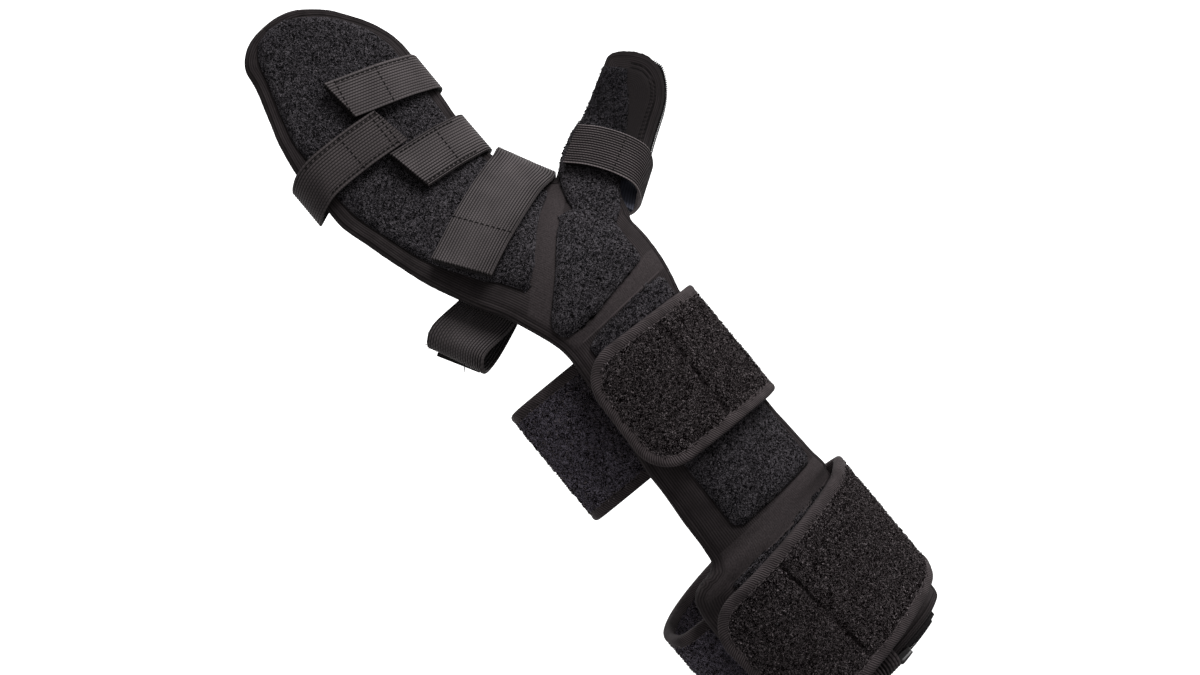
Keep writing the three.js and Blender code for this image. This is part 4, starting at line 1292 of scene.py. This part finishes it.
def makeStraps():
    for name, plan in straps.items():
        path = ribbon(plan["stops"])
        width, length, front, slant = plan["width"], path["length"], plan.get("front", 1), plan.get("slant", (0, 0))
        ribs = round(width / webbing["ribPitch"])
        piece = ribbonPiece(name + "_soft", path, width, webbing["wall"], 0, length, ribs * 4,
                            int(length / webbing["row"]), rise=webbing["ribRise"], pitch=width / ribs, slant=slant,
                            rim=1)
        smoothFaces(piece, 60)
        finishPiece(piece, "webbing", [finishes[plan.get("finish", "ribbedWebbing")], finishes["gridWebbing"]], name)
        tabWidth = width - webbing["hookHem"]
        tabs = [("_hook", 0.1, plan["hook"], tabWidth, -1)]
        if "endHook" in plan:
            turnOver(piece, length * 0.55)
            tabs.append(("_end_hook", length - plan["endHook"], length - 0.1, tabWidth, -1))
        if "tail" in plan:
            tabs.append(("_tail", length - plan["tail"][0], length - plan["tail"][1], webbing["tailWidth"], 1))
        for tab, begin, end, wide, face in tabs:
            makeHook(name + tab, path, wide, webbing["hookWall"], begin, end, 12, webbing["hookDrop"] * face * front,
                     slant)
        for k, (u0, v0, u1, v1) in enumerate(plan["seams"]):
            u0, u1 = (u if u > 0 else length + u for u in (u0, u1))
            count = int(math.hypot(u1 - u0, v1 - v0) / webbing["stitch"])
            stitchRow(f"{name}_seam{k}", path, np.linspace(u0, u1, count), np.linspace(v0, v1, count),
                                   (u1 - u0, v1 - v0), webbing["stitchLift"] * front)
        if "looseSpots" in plan:
            looseThreads(name + "_loose", path, plan)
        print(name, "length", round(length, 1))


makeStraps()
print("webbing straps laid")

# padded straps: a pile-faced body, a bound edge round its free end, and a hook tab under it
paddedStraps = {
    "wrist_strap": {
        "width": 58, "s": 36.5, "lean": 0.045, "shift": -5.5, "end": -28.5, "ease": 0, "flare": 0, "centre": -6,
        "depth": -29, "wide": 42, "deep": 33, "tuck": -12, "seam": 41, "density": 0.75},
    "forearm_strap": {
        "width": 63.5, "s": 138.5, "lean": -0.12, "shift": 13, "end": -47, "ease": 2.8, "flare": 0.15, "centre": -3.5,
        "depth": -33, "wide": 51.5, "deep": 42, "tuck": -26, "seam": 41, "density": 0.55},
}
padding = {
    "mid": 15.1, "inner": -4.0, "wall": 3.4, "binding": 5.5, "overlap": 2.2, "bead": 4.6, "corner": 17, "crown": 0.5,
    "crease": (1.1, 1.3), "curl": 0.85, "foldBare": 0.8, "curlParts": (("front", -12, 40), ("rear", -90, -12)),
    "stitch": 2.7, "stitchInset": 0.7, "stitchSize": (2.1, 0.42, 0.4), "hook": (9, 44), "hookWall": 1.5,
    "hookDrop": -2.9,
}


def paddedRoute(plan):
    s, flare = plan["s"], plan["flare"]
    over = float(boardEdges(s)[1])
    face = [faceStop(s + plan["lean"] * (y - over), y, padding["mid"])
            for y in np.linspace(plan["end"], over - 16, 5)]
    turning = [faceStop(s, over - 7, padding["mid"] - 1.2), faceStop(s, over - 0.5, padding["mid"] - 3.4)]
    rim = boardPoint(s, over, wallHeight(0.5))
    side = [loopStop(s, rim[1] + padding["bead"] / 2 + 0.8 + plan["ease"], rim[2] - 4, flare)]
    loop = []
    for i in range(11):
        turn = math.radians(5 - 19.2 * i)
        loop.append(loopStop(s + plan["shift"] * i / 10, plan["centre"] + plan["wide"] * math.cos(turn),
                             plan["depth"] + plan["deep"] * math.sin(turn), flare * (1 - i / 10)))
    rear = s + plan["shift"]
    tuck = [faceStop(rear, y, padding["inner"])
            for y in np.linspace(boardEdges(rear)[0] + 6, plan["tuck"], 4)]
    return ribbon(face + turning + side + loop + tuck)


def bindingLine(length, width):
    inset = padding["binding"] / 2 - 0.1
    corner, side = padding["corner"] - inset, width / 2 - inset
    down = np.linspace(length, inset + corner, int(length / 1.5))
    turn = np.linspace(-math.pi / 2, math.pi / 2, 36)
    bent = turn[turn <= 0][1:]
    u = np.concatenate([down, inset + corner * (1 - np.cos(bent))])
    v = np.concatenate([np.full(len(down), -side), -side + corner * (1 + np.sin(bent))])
    turns = np.concatenate([np.full(len(down), -math.pi / 2), bent])
    gap = np.linspace(v[-1], -v[-1], 12)[1:-1]
    u = np.concatenate([u, np.full(len(gap), u[-1]), u[::-1]])
    v = np.concatenate([v, gap, -v[::-1]])
    turns = np.concatenate([turns, np.zeros(len(gap)), -turns[::-1]])
    return u, v, turns, inset


def makeBinding(name, path, width):
    u, v, turns, inset = bindingLine(path["length"], width)
    piece, ring, along = gridBlank(name + "_binding_soft", 18, len(u) - 1)
    j = np.rint(along * (len(u) - 1)).astype(int)
    swing = ring * 2 * math.pi
    bead = padding["bead"] / 2
    offset = inset * np.sign(np.cos(swing)) * np.abs(np.cos(swing)) ** 0.75
    rise = bead * np.sign(np.sin(swing)) * np.abs(np.sin(swing)) ** 0.6
    rise *= np.where(offset < 0, 0.9, 1.0)
    run = runLength(np.stack([u, v], 1))
    placePoints(piece, onRibbon(path, u[j] - offset * np.cos(turns[j]), v[j] + offset * np.sin(turns[j]), rise))
    setWeaveMap(piece, swing * 2.4, run[j] + swing * 1.3 + 20)
    closeTube(piece)
    smoothFaces(piece, 70)
    finishPiece(piece, "binding", [finishes["bindingTape"]], name + "_binding")
    mid = np.arange(1.5, run[-1], padding["stitch"])
    su, sv, st = (np.interp(mid, run, x) for x in (u, v, turns))
    nearer = inset - padding["stitchInset"]
    spots = onRibbon(path, su + nearer * np.cos(st), sv - nearer * np.sin(st), np.full(len(mid), bead * 0.82))
    level = np.zeros(len(mid))
    ahead = onRibbon(path, np.interp(mid + 0.5, run, u), np.interp(mid + 0.5, run, v), level)
    ways = ahead - onRibbon(path, su, sv, level)
    stitches = setDown(name + "_binding_stitches", stitchPattern, spots, ways, ribbonOut(path, su),
                       padding["stitchSize"])
    finishPiece(stitches, "binding", [finishes["paleThread"]])


def makePaddedStraps():
    for seed, (name, plan) in enumerate(paddedStraps.items()):
        path = paddedRoute(plan)
        width, edge = plan["width"], padding["binding"] - padding["overlap"]
        corner = padding["corner"] - edge
        piece, across, along = gridBlank(name + "_soft", int((width - 2 * edge) / 1.2), int(path["length"] / 1.4))
        u = edge + along * (path["length"] - edge)
        half = width / 2 - edge - corner * (1 - endRound(u - edge, corner))
        v = (across - 0.5) * 2 * half
        rng = np.random.default_rng(20 + seed)
        crown = padding["crown"] * (1 - (v / np.maximum(half, 1)) ** 4)
        w = crown * 0.5 + seam(u, (plan["seam"], *padding["crease"]))
        w += np.clip(rng.normal(0, 0.1, len(u)), -0.25, 0.3)
        placePoints(piece, onRibbon(path, u, v, w + padding["wall"] / 2))
        setWeaveMap(piece, v, u)
        faceOut(piece, ribbonOut(path, u))
        finishWith(piece, "SOLIDIFY", thickness=padding["wall"] * mm, offset=-1, material_offset=1)
        smoothFaces(piece, 180)
        finishPiece(piece, "velour", [finishes["velourPile"], finishes["velourBack"]], name)
        fold = onRibbon(path, np.full(90, plan["seam"]), np.linspace(-width / 2, width / 2, 90), np.full(90, 1.2))
        for part, low, high in padding["curlParts"]:
            curls = scatterCurls(f"{name}_{part}_curls", piece, plan["density"], padding["curl"], 70 + seed,
                                 lambda spots: (lineDistance(fold, spots) > padding["foldBare"])
                                 & (spots[:, 2] > low) & (spots[:, 2] <= high))
            finishPiece(curls, "velour", [finishes["velourLoops"]])
        makeBinding(name, path, width)
        makeHook(name + "_hook", path, width - 3 * padding["binding"], padding["hookWall"], *padding["hook"], 24,
                 padding["hookDrop"])
        print(name, "length", round(path["length"], 1))


makePaddedStraps()
print("padded straps laid")

# zips: coil teeth on a tape along the elbow end and round the thumb end, a slider and a folded end tab
zips = {
    "edge": 1.8, "pitch": 0.95, "tooth": (2.0, 1.6, 1.15), "coil": (28, 7.5), "tapeSpan": (33, -10),
    "tapeReach": (3.6, 0.24), "tapeWall": 0.9, "thumbFrom": 58, "thumbEnd": 0.6, "thumbDepth": 0.4, "thumbTape": 1.6,
    "dive": (7.0, -0.8),
}


def makeZip(node, line, ups):
    run = runLength(line)
    spots = np.arange(0.4, run[-1] - 0.2, zips["pitch"])
    origins = follow(run, line, spots)
    ways = unit(follow(run, line, np.minimum(spots + 0.6, run[-1])) - follow(run, line, np.maximum(spots - 0.6, 0)))
    teeth = setDown(node + "_teeth", toothPattern, origins, unit(follow(run, ups, spots)), ways, zips["tooth"])
    finishPiece(teeth, "zip", [finishes["zipCoil"]], node)


def makeZipTape(name, near, far):
    piece, across, along = gridBlank(name, 4, len(near) - 1)
    j = np.rint(along * (len(near) - 1)).astype(int)
    placePoints(piece, near[j] + (far[j] - near[j]) * across[:, None])
    setWeaveMap(piece, across * 3, along * 60)
    finishWith(piece, "SOLIDIFY", thickness=zips["tapeWall"] * mm, offset=0)
    smoothFaces(piece, 60)
    finishPiece(piece, "zip", [finishes["zipTape"]])


def elbowSpot(y):
    flat = np.ones(np.shape(y))
    return boardPoint((board["elbow"] + zips["edge"]) * flat, y, wallHeight(0.5) * flat)


def makeZips():
    makeZip("elbow_zip", elbowSpot(np.linspace(*zips["coil"], 60)), np.tile([0.0, 0.0, 1.0], (60, 1)))
    edge = elbowSpot(np.linspace(*zips["tapeSpan"], 60))
    under, out = (np.array([reach, 0.0, 0.0]) for reach in zips["tapeReach"])
    makeZipTape("elbow_zip_tape", edge - under, edge + out)
    end = thumbLength - zips["thumbEnd"]
    along = end - np.linspace(1, 0, 90) ** 1.6 * (end - zips["thumbFrom"])
    rim = np.stack([along, thumbEdges(along)[1]], 1)
    way = unit(np.gradient(rim, axis=0))
    out = np.stack([-way[:, 1], way[:, 0]], 1)
    run = runLength(rim)
    dive = np.interp(run[-1] - run, (0, zips["dive"][0]), (zips["dive"][1], 1))  # under the rim at the tip
    depth = np.full(len(rim), wallHeight(zips["thumbDepth"]))
    line = thumbPoint(*(rim + out * zips["edge"] * dive[:, None]).T, depth)
    makeZip("thumb_zip", line, thumbFrame(along)[2])
    makeZipTape("thumb_zip_tape", thumbPoint(*(rim - out * zips["thumbTape"]).T, depth), line)


slider = {"y": 3.2, "size": (4.2, 7.6, 5.2), "nose": 0.35, "waist": 0.3, "bevel": 0.5}
endTab = {
    "y": -9, "width": 15, "wall": 1.4, "ribRise": 0.15, "ribPitch": 1.5,
    "stops": ((-5, 10.1), (-1.2, 10.1), (2.4, 7.1), (2.4, 1.5), (-1.5, inside), (-9.5, inside)),
}


def makeSlider():
    body = addShape(bpy.ops.mesh.primitive_cube_add, size=1)
    body.name = "zip_slider_body"
    bpy.ops.object.mode_set(mode="EDIT")
    bpy.ops.mesh.subdivide(number_cuts=3)
    bpy.ops.object.mode_set(mode="OBJECT")
    points = readPoints(body)
    points[:, 0] *= 1 - slider["nose"] * np.clip(points[:, 1] + 0.2, 0, 1)  # narrows towards its nose
    points[:, 2] *= 1 - slider["waist"] * np.exp(-(points[:, 0] / 0.2) ** 2)
    placePoints(body, points * np.array(slider["size"]) + elbowSpot(np.array([slider["y"]]))[0])
    finishWith(body, "BEVEL", width=slider["bevel"] * mm, segments=2, limit_method="ANGLE")
    smoothFaces(body, 50)
    finishPiece(body, "slider", [finishes["zipSlider"]], "zip_slider")


def makeEndTab():
    tab = ribbon([endStop(board["elbow"] + past, endTab["y"], height) for past, height in endTab["stops"]])
    piece = ribbonPiece("zip_end_tab_soft", tab, endTab["width"], endTab["wall"], 0, tab["length"], 40, 40,
                        rise=endTab["ribRise"], pitch=endTab["ribPitch"])
    smoothFaces(piece, 60)
    finishPiece(piece, "webbing", [finishes["endWebbing"]], "zip_end_tab")


makeZips()
makeSlider()
makeEndTab()
print("zips fitted")
